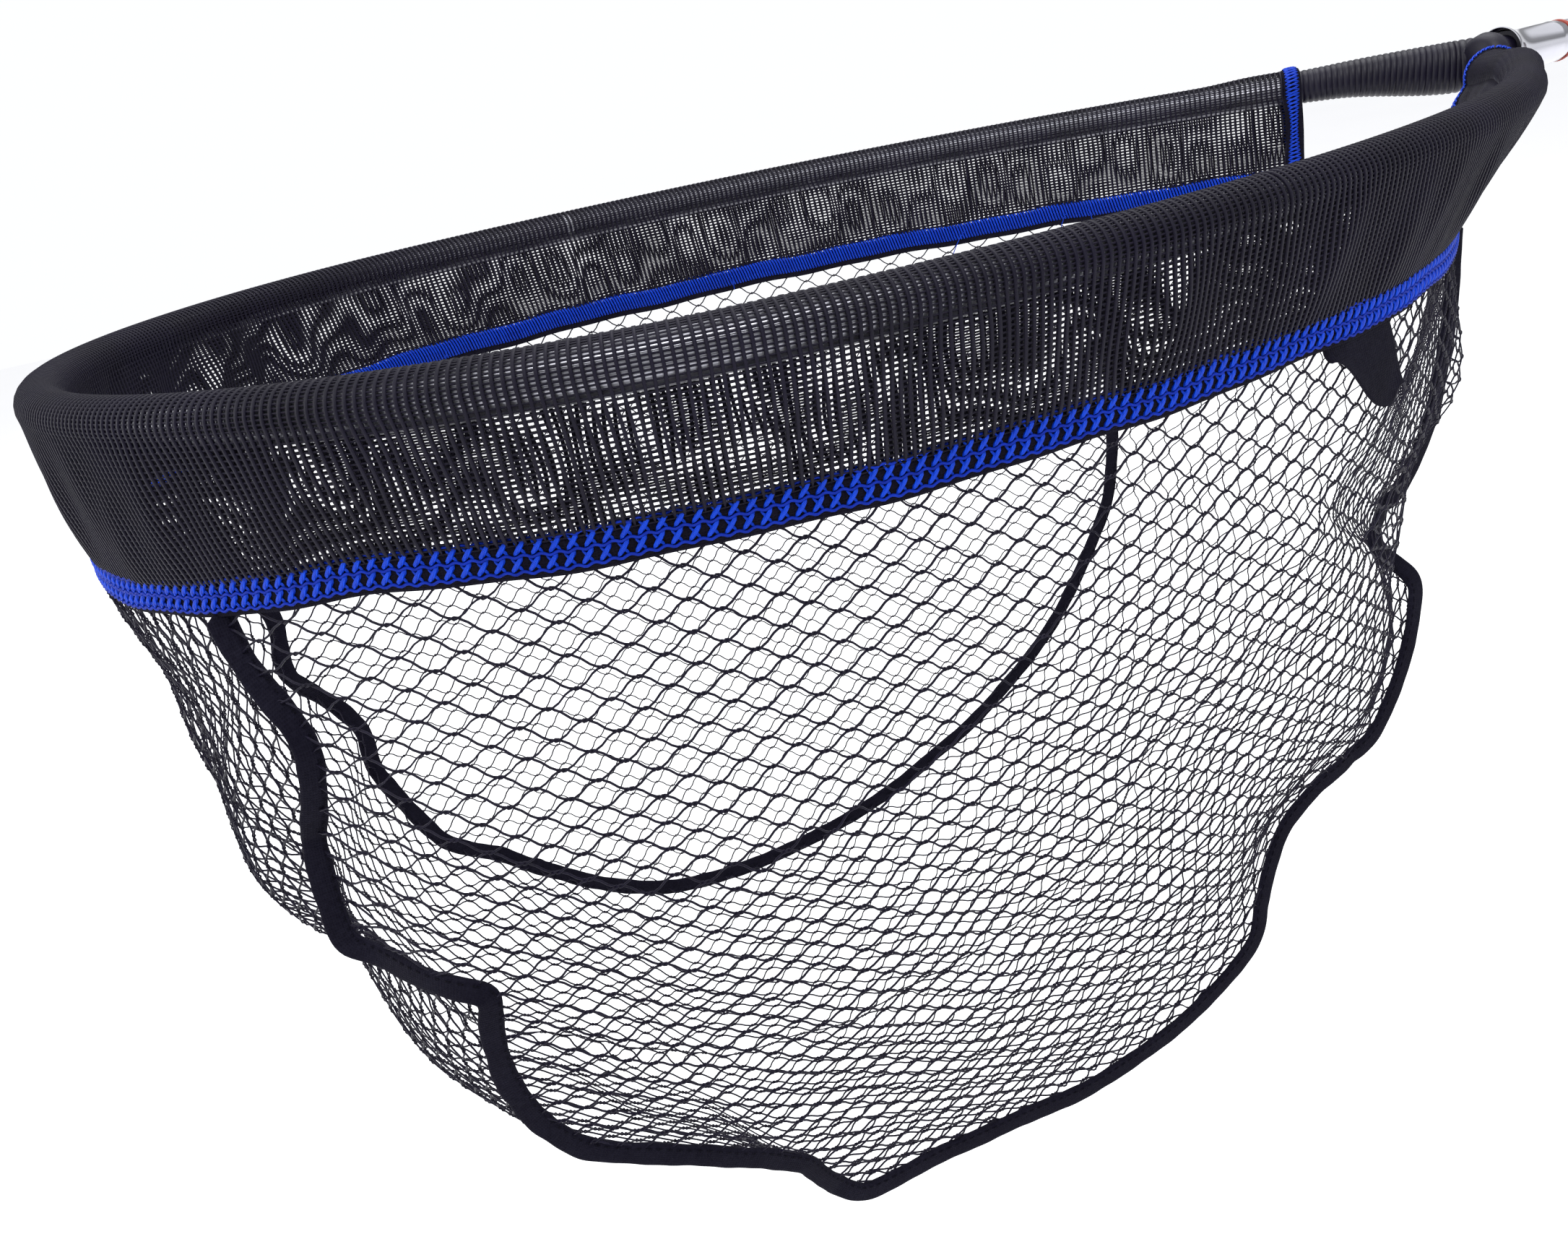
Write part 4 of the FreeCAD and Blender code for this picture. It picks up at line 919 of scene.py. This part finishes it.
def make_hem(tape, thread, shaded_chain_thread):
    """The hem's black tape, the blue zigzag on its outer face and the rolled overlock inside."""
    station = np.arange(0, HEM_LENGTH, 1.5 * MM)
    point, _, outward = hem_at(station)
    middle = (HEM_TOP + HEM_LOW) / 2
    path = point + raised(middle + hem_level(station) - tip_sag(point[:, 0]))
    upward = np.broadcast_to([0.0, 0.0, 1.0], path.shape)
    binding = band_along(path, upward, outward, (HEM_TOP - HEM_LOW) / 2, TAPE_THICK / 2, 16, closed=True,
                         squareness=0.4)
    piece("hem_binding", binding, tape, "black_tape", "hem_tape")

    pitch = HEM_LENGTH / round(HEM_LENGTH / STITCH_PITCH)
    starts = np.arange(round(HEM_LENGTH / pitch)) * pitch
    top, centre, low = HEM_TOP + 0.8 * MM, HEM_TOP - 3.0 * MM, HEM_TOP - 6.8 * MM
    face = TAPE_THICK / 2 + 0.15 * MM
    threads = []
    for upper, lower, shift in ((top, centre, 0.0), (centre, low, 0.35)):
        for lean, girth, height in ((0.85, 0.60 * MM, 0.50 * MM), (-0.62, 0.36 * MM, 0.10 * MM)):
            share = np.linspace(0, 1, 6)
            where = starts[:, None] + pitch * (shift + lean * (share[None] - 0.5))
            rise = upper + (lower - upper) * share[None] + hem_level(where)
            out = face + height * np.sin(math.pi * share)[None] + 0 * where
            path = hem_frame(where, out, rise)
            across = hem_at(where)[2]
            threads.append(strands(path, girth * (0.75 + 0.35 * np.sin(math.pi * share))[None], across, 5))
    piece("hem_zigzag", joined(*threads), thread, "blue_stitching")
    threads = []
    for height, phase in ((top, 0.0), (centre, 0.4), (low, 0.2)):
        where = np.arange(0, HEM_LENGTH + 0.1 * MM, pitch / 6)
        wave = np.sin(2 * math.pi * (where / pitch + phase))
        rise = height + 0.32 * MM * wave + hem_level(where)
        path = hem_frame(where, face + 0.30 * MM + 0.18 * MM * np.abs(wave), rise)
        threads.append(strands(path[None], 0.38 * MM, hem_at(where)[2][None], 5))
    # The chains take the darker copy of the blue thread: painted shade.
    piece("hem_chains", joined(*threads), shaded_chain_thread, "blue_stitching")

    # Inside, dense slanting loops roll the edge into a cord.
    pitch = HEM_LENGTH / round(HEM_LENGTH / (1.35 * MM))
    starts = np.arange(round(HEM_LENGTH / pitch)) * pitch
    share = np.linspace(0, 1, 8)
    where = starts[:, None] + pitch * 2.2 * (share[None] - 0.5)
    swing = math.pi * (1.08 * share - 0.04)
    rise = HEM_TOP - 2.7 * MM + 3.6 * MM * np.cos(swing)[None] + hem_level(where)
    uneven = 0.25 * MM * ripple(starts, starts, ((0.011, 1, 0), (0.0047, 1, 2), (0.0071, 1, 1)))[:, None]
    out = -(TAPE_THICK / 2 - 0.2 * MM) - (1.25 * MM + uneven) * np.sin(swing)[None]
    path = hem_frame(where, out, rise)
    piece("hem_overlock", strands(path, 0.46 * MM, -hem_at(where)[2], 5), thread, "blue_stitching")

    # A few loose ends of thread where the seams were started and trimmed.
    rng = np.random.default_rng(7)
    places = np.array([hem_station(x_place, 1) for x_place in (-0.36, -0.368, -0.41, -0.52, -0.66)])
    share = np.linspace(0, 1, 14)
    curl = rng.uniform(-1, 1, (len(places), 3))
    where = places[:, None] + share[None] * 9 * MM * curl[:, :1]
    out = -(1.6 + 3.5 * share[None] * (1.2 + curl[:, 1:2])) * MM
    rise = HEM_TOP - 3 * MM - share[None] ** 1.6 * (7 + 4 * curl[:, 2:3]) * MM
    path = hem_frame(where, out, rise)
    piece("loose_ends", strands(path, 0.2 * MM, -hem_at(where)[2], 5), thread, "blue_stitching")


# ------------------------------------------------------------------ sleeve
OUTER_LEG, INNER_LEG = 0.34, 0.66      # shares of the section where the cloth meets and leaves the tube
SLEEVE_LENGTH = 2 * HALF_LENGTH - NEAR_END - FAR_END


def arm_radius(from_apex):
    """Radius of the yoke's arm: it thickens evenly from the tube's end towards the crotch."""
    return (7.1 + 2.6 * np.clip((TUBE_END - from_apex) / (78 * MM), 0, 1.2)) * MM


def sleeve_cloth(share, turn):
    """The folded cloth: share runs along the hoop from the near end (0) to the far end (1), and
    turn runs round the section, from the outer hem (0) over the tube to the inner hem (1).

    The legs are straight lines from the hem to the tube with slow folds across them, and the
    middle is an arc round the tube or the yoke's arm.
    """
    near, far = -(HALF_LENGTH - NEAR_END), HALF_LENGTH - FAR_END
    distance = near + (far - near) * share
    leg_down = np.where(turn < OUTER_LEG, (OUTER_LEG - turn) / OUTER_LEG,
                        np.where(turn > INNER_LEG, (turn - INNER_LEG) / (1 - INNER_LEG), 0))
    over = smooth(turn, 0.5, INNER_LEG)
    swing = np.sin(math.pi * np.clip(leg_down, 0, 1))
    drift = (1.5 * MM * np.sin(distance * 2 * math.pi / (43 * MM) + 2.2 * leg_down)
             + 1.0 * MM * np.sin(distance * 2 * math.pi / (27 * MM) - 3.0 * leg_down + 1.0))
    distance = distance + swing * np.where(turn > 0.5, drift, -0.35 * drift)
    slanted = np.where(turn > 0.5, 0.10 * over + 0.90 * leg_down, 0.55 * leg_down)
    distance = distance + NEAR_SLANT * slanted * (1 - smooth(share, 0, 0.16))
    point, normal = bowed_line(distance)
    from_apex = HALF_LENGTH - np.abs(distance)
    grow = smooth(TUBE_END + 40 * MM - from_apex, 0, 26 * MM)
    radius = TUBE_RADIUS + 0.75 * MM
    radius = radius + grow * np.maximum(0, arm_radius(from_apex) + 0.7 * MM - radius)
    round_tube = np.clip((turn - OUTER_LEG) / (INNER_LEG - OUTER_LEG), 0, 1)
    angle = math.radians(-14) + math.radians(208) * round_tube
    arc_out, arc_up = radius * np.cos(angle), radius * np.sin(angle)
    inset = hem_inset(distance)
    outer = turn < 0.5
    bow = ((point - hoop_line(distance)[0]) * normal).sum(-1)
    hem_out = -inset - bow + np.where(outer, 1.0, -1.0) * (TAPE_THICK / 2 + 0.1 * MM)
    out = arc_out + (hem_out - arc_out) * leg_down
    up = arc_up + (HEM_TOP - 1.2 * MM - tip_sag(point[..., 0]) - arc_up) * leg_down
    loose = np.sin(math.pi * np.clip(leg_down, 0, 1)) ** 0.8
    folds = ripple(distance + 0.25 * up, up, ((0.052, 0.21, 0.3), (0.031, -0.13, 1.7), (0.019, 0.09, 3.9)))
    other = ripple(distance - 0.3 * up, up, ((0.061, -0.17, 2.3), (0.027, 0.11, 0.2), (0.021, -0.08, 1.1)))
    amount = np.where(outer, 0.9 * MM * folds + 1.0 * MM, 1.7 * MM * other - 1.2 * MM)
    out = out + loose * amount
    return point + normal * out[..., None] + raised(up)


def make_sleeve(cloth, tape, thread):
    """Knitted cloth: ribs round the section and thin rungs between them, each one a thread."""
    ribs = round(SLEEVE_LENGTH / RIB_GAP)
    share = (np.arange(ribs) + 0.5) / ribs
    edges = np.linspace(0, ribs, SLEEVE_LENGTHS + 1).astype(int)
    turn = np.linspace(0, 1, 45)
    level = (np.arange(78) + 0.5) / 78
    for number in range(SLEEVE_LENGTHS):
        chosen = share[edges[number]:edges[number + 1]]
        rib_path = sleeve_cloth(chosen[:, None] + 0 * turn, turn[None] + 0 * chosen[:, None])
        across = unit(np.cross(np.gradient(rib_path, axis=1), np.gradient(rib_path, axis=0)))
        ribs_mesh = strands(rib_path, RIB, across, 4)
        spans = share[edges[number]:edges[number + 1] + 1]
        rung_path = sleeve_cloth(spans[None] + 0 * level[:, None], level[:, None] + 0 * spans)
        across = unit(np.cross(np.gradient(rung_path, axis=0), np.gradient(rung_path, axis=1)))
        cloth_mesh = joined(ribs_mesh, strands(rung_path, RUNG, across, 3))
        stands_for = ["sleeve"] if number == 0 else []
        piece(f"sleeve_cloth_{number + 1}", cloth_mesh, cloth, "sleeve_mesh", *stands_for)
    for word, end in (("near", 0.0), ("far", 1.0)):
        make_sleeve_end(word, end, tape, thread)


def make_sleeve_end(word, end, tape, thread):
    """Binding folded over a cut end of the cloth, with blue stitching on both faces."""
    inward = 1 if end == 0 else -1

    def cloth_at(reach, turn):
        return sleeve_cloth(end + inward * reach / SLEEVE_LENGTH + 0 * turn, turn)

    bindings, threads = [], []
    stitches = 30
    for low, high in ((0.02, 0.50), (0.50, 0.98)):
        turn = np.linspace(low, high, 60)
        path = cloth_at(3.4 * MM, turn)
        wide = unit(cloth_at(6.0 * MM, turn) - path)
        thick = unit(np.cross(unit(np.gradient(path, axis=0)), wide))
        bindings.append(band_along(path, wide, thick, 3.9 * MM, 0.8 * MM, 12))
        stitch = np.linspace(low, high, stitches)[:-1]
        gap = (high - low) / stitches
        for lean, girth in ((1.2, 0.50 * MM), (-0.5, 0.36 * MM)):
            share = np.linspace(0, 1, 6)
            where = np.clip(stitch[:, None] + gap * lean * (share[None] - 0.5), low, high)
            reach = (0.4 + 6.0 * share)[None] * MM
            over = cloth_at(reach, where)
            ahead, later = cloth_at(reach + 1 * MM, where), cloth_at(reach, where + 0.004)
            square = unit(np.cross(ahead - over, later - over)) * inward
            for face in (-1, 1):
                lifted = over + square * face * (0.95 + 0.3 * np.sin(math.pi * share))[None, :, None] * MM
                threads.append(strands(lifted, girth, square * face, 4))
    piece(f"sleeve_end_tape_{word}", joined(*bindings), tape, "black_tape", f"sleeve_binding_{word}")
    piece(f"sleeve_end_stitches_{word}", joined(*threads), thread, "blue_stitching")


TAG_SHIFT = 68 * MM                # how much nearer the tip the tab hangs than its plain solid


def make_tag(tape):
    """A tab under the hem: short at its tip side, long at the other, two wavy faces and a rim."""
    low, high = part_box("hem_tag")
    rows, columns = 22, 30
    share = np.linspace(0, 1, columns)[None, :]
    down = np.linspace(0, 1, rows)[:, None]
    along = low.x - TAG_SHIFT + (high.x - low.x + 8 * MM) * share
    drop = (5 + 20 * smooth(share, 0, 0.8) - 5 * smooth(share, 0.8, 1)) * MM
    z_place = HEM_LOW + 1.5 * MM - drop * down + 0.6 * MM * np.sin(along * 260) * down
    x_place = along + 5 * MM * down * share
    station = np.array([hem_station(x, -1) for x in along[0]])
    hem_y = hem_at(station)[0][:, 1][None]
    y_place = hem_y - 0.6 * MM - 1.5 * MM * down ** 1.4 + 0.9 * MM * np.sin(down * 4 + along * 150) * down
    front = np.stack(np.broadcast_arrays(x_place, y_place, z_place), -1)
    points = np.concatenate([front.reshape(-1, 3), (front + [0, 1.1 * MM, 0]).reshape(-1, 3)])
    count = rows * columns
    faces = grid_quads(rows, columns)
    rim_index = np.concatenate([np.arange(columns), np.arange(1, rows) * columns + columns - 1,
                                (rows - 1) * columns + np.arange(columns - 2, -1, -1),
                                np.arange(rows - 2, 0, -1) * columns])
    rim_next = np.roll(rim_index, -1)
    rim = np.stack([rim_index, rim_index + count, rim_next + count, rim_next], -1)
    quads = np.concatenate([faces, faces[:, ::-1] + count, rim])
    chart = np.concatenate([np.stack(np.broadcast_arrays(along, down * drop), -1).reshape(-1, 2)] * 2)
    piece("hem_tab", (points, quads, chart), tape, "black_tape", "hem_tag")


# ------------------------------------------------------------------ hoop tube and yoke
def make_hoop(material):
    """The bent tube: an outer and an inner circle carried along the hoop's line."""
    reach = HALF_LENGTH - TUBE_END
    distance = np.linspace(-reach, reach, 420)
    point, normal = bowed_line(distance)
    turn = turns(32)
    ring = (normal[:, None] * np.cos(turn)[:, None] + np.array([0, 0, 1.0]) * np.sin(turn)[:, None])
    outer, inner = (point[:, None] + ring * radius for radius in (TUBE_RADIUS, TUBE_RADIUS - TUBE_WALL))
    points = np.concatenate([outer, inner[::-1]])
    quads = grid_quads(len(points), 32, closed_rows=True, closed_columns=True)
    chart = np.stack(np.broadcast_arrays(np.concatenate([distance, distance[::-1]])[:, None], turn), -1)
    piece("hoop", (points, quads[:, ::-1], chart), material, "aluminium_tube", "hoop_tube", corners=35)


def ribbed_arm(side):
    """One arm of the yoke: ribs across it, and a section that grows deeper towards the crotch.

    Near the stem its middle line turns in to meet it.
    """
    steps, sides = 620, 48
    reach = np.linspace(TUBE_END + 0.8 * MM, 1 * MM, steps)
    middle, _ = bowed_line(side * (HALF_LENGTH - reach))
    inward = (1 - smooth(reach, 0, 24 * MM))[:, None]
    droop = smooth(TUBE_END - reach, 20 * MM, 70 * MM)[:, None] * (1 - inward)
    middle = middle * (1 - inward) + [APEX_X - 8 * MM, 0, 0] * inward + [0, 0, -2.5 * MM] * droop
    along = unit(np.gradient(middle, axis=0))
    across = unit(np.cross(along, [0, 0, 1.0]))
    upward = np.cross(across, along)
    ribs = np.abs(np.sin(math.pi * reach / (2.4 * MM))) ** 0.7
    plain = smooth(reach, TUBE_END - 3 * MM, TUBE_END - 1 * MM)
    radius = arm_radius(reach) + 0.55 * MM * (ribs - 0.6) * (1 - plain) * smooth(reach, 8 * MM, 14 * MM)
    depth = 0.94 + 0.20 * smooth(TUBE_END - reach, 15 * MM, 65 * MM) * smooth(reach, 4 * MM, 26 * MM)
    turn = turns(sides)
    wide, tall = squared(np.cos(turn)[None], 0.86), squared(np.sin(turn)[None], 0.86)
    points = (middle[:, None] + across[:, None] * (wide * radius[:, None])[..., None]
              + upward[:, None] * (tall * (radius * depth)[:, None])[..., None])
    points[0], points[-1] = points[0].mean(0), points[-1].mean(0)
    quads = grid_quads(steps, sides, closed_columns=True)
    chart = np.stack(np.broadcast_arrays(reach[:, None], turn[None] * 5 * MM), -1)
    return points.reshape(-1, 3), quads, chart.reshape(-1, 2)


def yoke_web():
    """The web between the arms: a lens-shaped plate that fills the crotch, rounded on its free edge."""
    rows, sides = 40, 48
    reach = np.linspace(0, 1, rows)
    place = APEX_X - (2 + 17 * reach) * MM
    half = (APEX_X - place) * math.tan(ARM_ANGLE) * 0.98
    edge = np.sqrt(np.clip(1 - reach ** 6, 0.0, 1))
    turn = turns(sides)
    wide = squared(np.cos(turn)[None], 0.35) * half[:, None]
    tall = squared(np.sin(turn)[None], 0.6) * (4.6 * MM * edge + 0.05 * MM)[:, None]
    bow = 5 * MM * (wide / np.maximum(half[:, None], 1e-6)) ** 2 * reach[:, None] ** 3
    points = np.stack(np.broadcast_arrays(place[:, None] - bow, wide, tall), -1)
    points[0], points[-1] = points[0].mean(0), points[-1] * [1, 1, 0.02]
    quads = grid_quads(rows, sides, closed_columns=True)
    chart = np.stack(np.broadcast_arrays(place[:, None], wide), -1)
    return points.reshape(-1, 3), quads[:, ::-1], chart.reshape(-1, 2)


def yoke_stem():
    """The stem that the ferrule covers, with a swollen shoulder where the arms meet."""
    profile = np.array([(-14, 0.01), (-14, 7.0), (-12, 9.3), (-8, 10.2), (-5, 9.6), (-2, 8.2), (0, 7.4),
                        (20, 7.3), (21, 6.8), (21, 0.01)]) * MM
    profile[:, 0] += FERRULE_X
    turn = turns(64)
    points = np.stack(np.broadcast_arrays(profile[:, 0, None], profile[:, 1, None] * np.cos(turn),
                                          profile[:, 1, None] * np.sin(turn)), -1)
    quads = grid_quads(len(profile), 64, closed_columns=True)
    chart = np.stack(np.broadcast_arrays(profile[:, 0, None], turn), -1)
    return points.reshape(-1, 3), quads[:, ::-1], chart.reshape(-1, 2)


def make_yoke(material):
    """The moulding that joins the hoop's ends: two arms, the web between them and the stem."""
    yoke = joined(ribbed_arm(-1), ribbed_arm(1), yoke_web(), yoke_stem())
    piece("ribbed_yoke", yoke, material, "yoke_plastic", "yoke", corners=50)


# ------------------------------------------------------------------ handle
GRIP_GROOVES = (18, 24, 30)        # from each end of the grip, in mm
GRIP_BORE = 11.05                  # radius of the outer tube with its clearance, in mm


def tube_section(length, outer, inner, edge):
    """A tube's outline in mm with edges rounded by this radius."""
    return rounded([(0, inner), (0, outer), (length, outer), (length, inner)], edge)


def grip_section(length):
    """The grip's outline in mm: a slight swell, three grooves by each end and rounded ends."""
    place = np.linspace(0, length, 160)
    swell = 13.6 + 1.35 * np.sin(math.pi * np.clip(place / length, 0, 1)) ** 0.35
    grooves = np.array([*GRIP_GROOVES, *(length - groove for groove in reversed(GRIP_GROOVES))])
    skin = swell - 0.7 * np.exp(-((place[:, None] - grooves) / 1.1) ** 2).sum(1)
    ends = np.minimum(1, 0.78 + 0.22 * np.sqrt(np.clip(np.minimum(place, length - place) / 3.0, 0, 1)))
    return np.concatenate([[(0, GRIP_BORE)], np.stack([place, skin * ends], -1), [(length, GRIP_BORE)]])


def cap_section(length, floor=4.0):
    """The butt cap's outline in mm: a rim round the tube and a closed end, its floor this deep."""
    return rounded([(0, GRIP_BORE), (0, 15.6), (1.2, 16.5), (length - 4.5, 16.5), (length - 1.2, 15.2),
                    (length, 12.5), (length, 0.01), (floor, 0.01), (floor, GRIP_BORE)], 1.0)


def make_handle(finishes):
    """Everything on the handle's axis is turned, and the smaller pieces keep the frame's own shape."""
    flare = [(0.3, 10.5), (0.0, 10.8), (0.25, 11.1), (0.9, 11.0), (2.2, 10.5), (4.0, 9.8), (6.0, 9.2),
             (8.0, 8.8), (10.0, 8.62), (11.5, 8.6), (30.5, 8.6), (31.0, 8.75), (31.6, 8.6), (34.8, 8.6),
             (35.6, 8.3), (36.0, 7.8), (36.0, 5.0), (33.0, 5.0), (33.0, 7.5), (11.5, 7.55), (8.5, 7.9),
             (6.0, 8.3), (4.2, 8.9), (2.2, 9.7)]
    piece("chrome_ferrule", turned(flare), finishes["chrome"], "chrome", "ferrule", corners=35)
    wall = TUBE_WALL / MM
    for name, node, section, finish, slot, body in (
            ("red_washer", "fibre_washer", lambda long: tube_section(long, 8.8, 5.0, 0.35),
             "fibre", "red_fibre", "washer"),
            ("inner_tube_skin", "inner_tube", lambda long: tube_section(long, 8.0, 8.0 - wall, 0.3),
             "aluminium", "aluminium_tube", "inner_section"),
            ("mid_tube_skin", "mid_tube", lambda long: tube_section(long, 9.5, 9.5 - wall, 0.3),
             "aluminium", "aluminium_tube", "mid_section"),
            ("outer_tube_skin", "outer_tube", lambda long: tube_section(long, 11.0, 11.0 - wall, 0.3),
             "aluminium", "aluminium_tube", "handle"),
            ("foam_hand_grip", "foam_grip", grip_section, "foam", "foam", "handle"),
            ("rubber_butt_cap", "butt_cap", cap_section, "rubber", "black_plastic", "handle")):
        low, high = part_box(node)
        surface = turned(section((high.x - low.x) / MM), low.x)
        piece(name, surface, finishes[finish], slot, node, body=body, corners=35)

    for finish, nodes in (("plastic", ("outer_lock_collar", "mid_lock_collar")),
                          ("white", ("outer_collet", "mid_collet", "mid_guide_bush", "inner_guide_bush")),
                          ("brass", ("threaded_insert",)),
                          ("steel", ("threaded_stud", "hoop_rivet_near", "hoop_rivet_far"))):
        for node in nodes:
            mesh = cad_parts[node].data
            mesh.materials.clear()
            mesh.materials.append(finishes[finish])


# ------------------------------------------------------------------ assembly
make_camera()
make_studio()

finishes = {
    "net": net_thread(), "sleeve": sleeve_thread(), "tape": tape_weave(),
    "blue": blue_thread(), "shaded_blue": shaded_blue_thread(),
    "aluminium": drawn_aluminium(), "chrome": bright_chrome(), "yoke": moulded_nylon("yoke_nylon"),
    "plastic": moulded_nylon("collar_plastic", 0.005, 0.014, 1400, 0.38), "fibre": pressed_fibre(),
    "rubber": moulded_nylon("cap_rubber", 0.005, 0.012, 700, 0.6), "foam": cell_foam(),
    "brass": turned_metal("turned_brass", (0.55, 0.38, 0.12, 1), (0.75, 0.55, 0.22, 1), 0.25),
    "steel": turned_metal("turned_steel", (0.42, 0.42, 0.43, 1), (0.60, 0.60, 0.61, 1), 0.22),
    "white": white_bush(),
}

make_panels(finishes["net"])
make_strip(finishes["net"])
make_seam_tapes(finishes["tape"])
make_hem(finishes["tape"], finishes["blue"], finishes["shaded_blue"])
make_sleeve(finishes["sleeve"], finishes["tape"], finishes["blue"])
make_tag(finishes["tape"])
make_hoop(finishes["aluminium"])
make_yoke(finishes["yoke"])
make_handle(finishes)

corners = [(-6, -6, FLOOR_Z), (6, -6, FLOOR_Z), (6, 6, FLOOR_Z), (-6, 6, FLOOR_Z)]
new_object("floor", (corners, [(0, 1, 2, 3)], None), pale_floor())
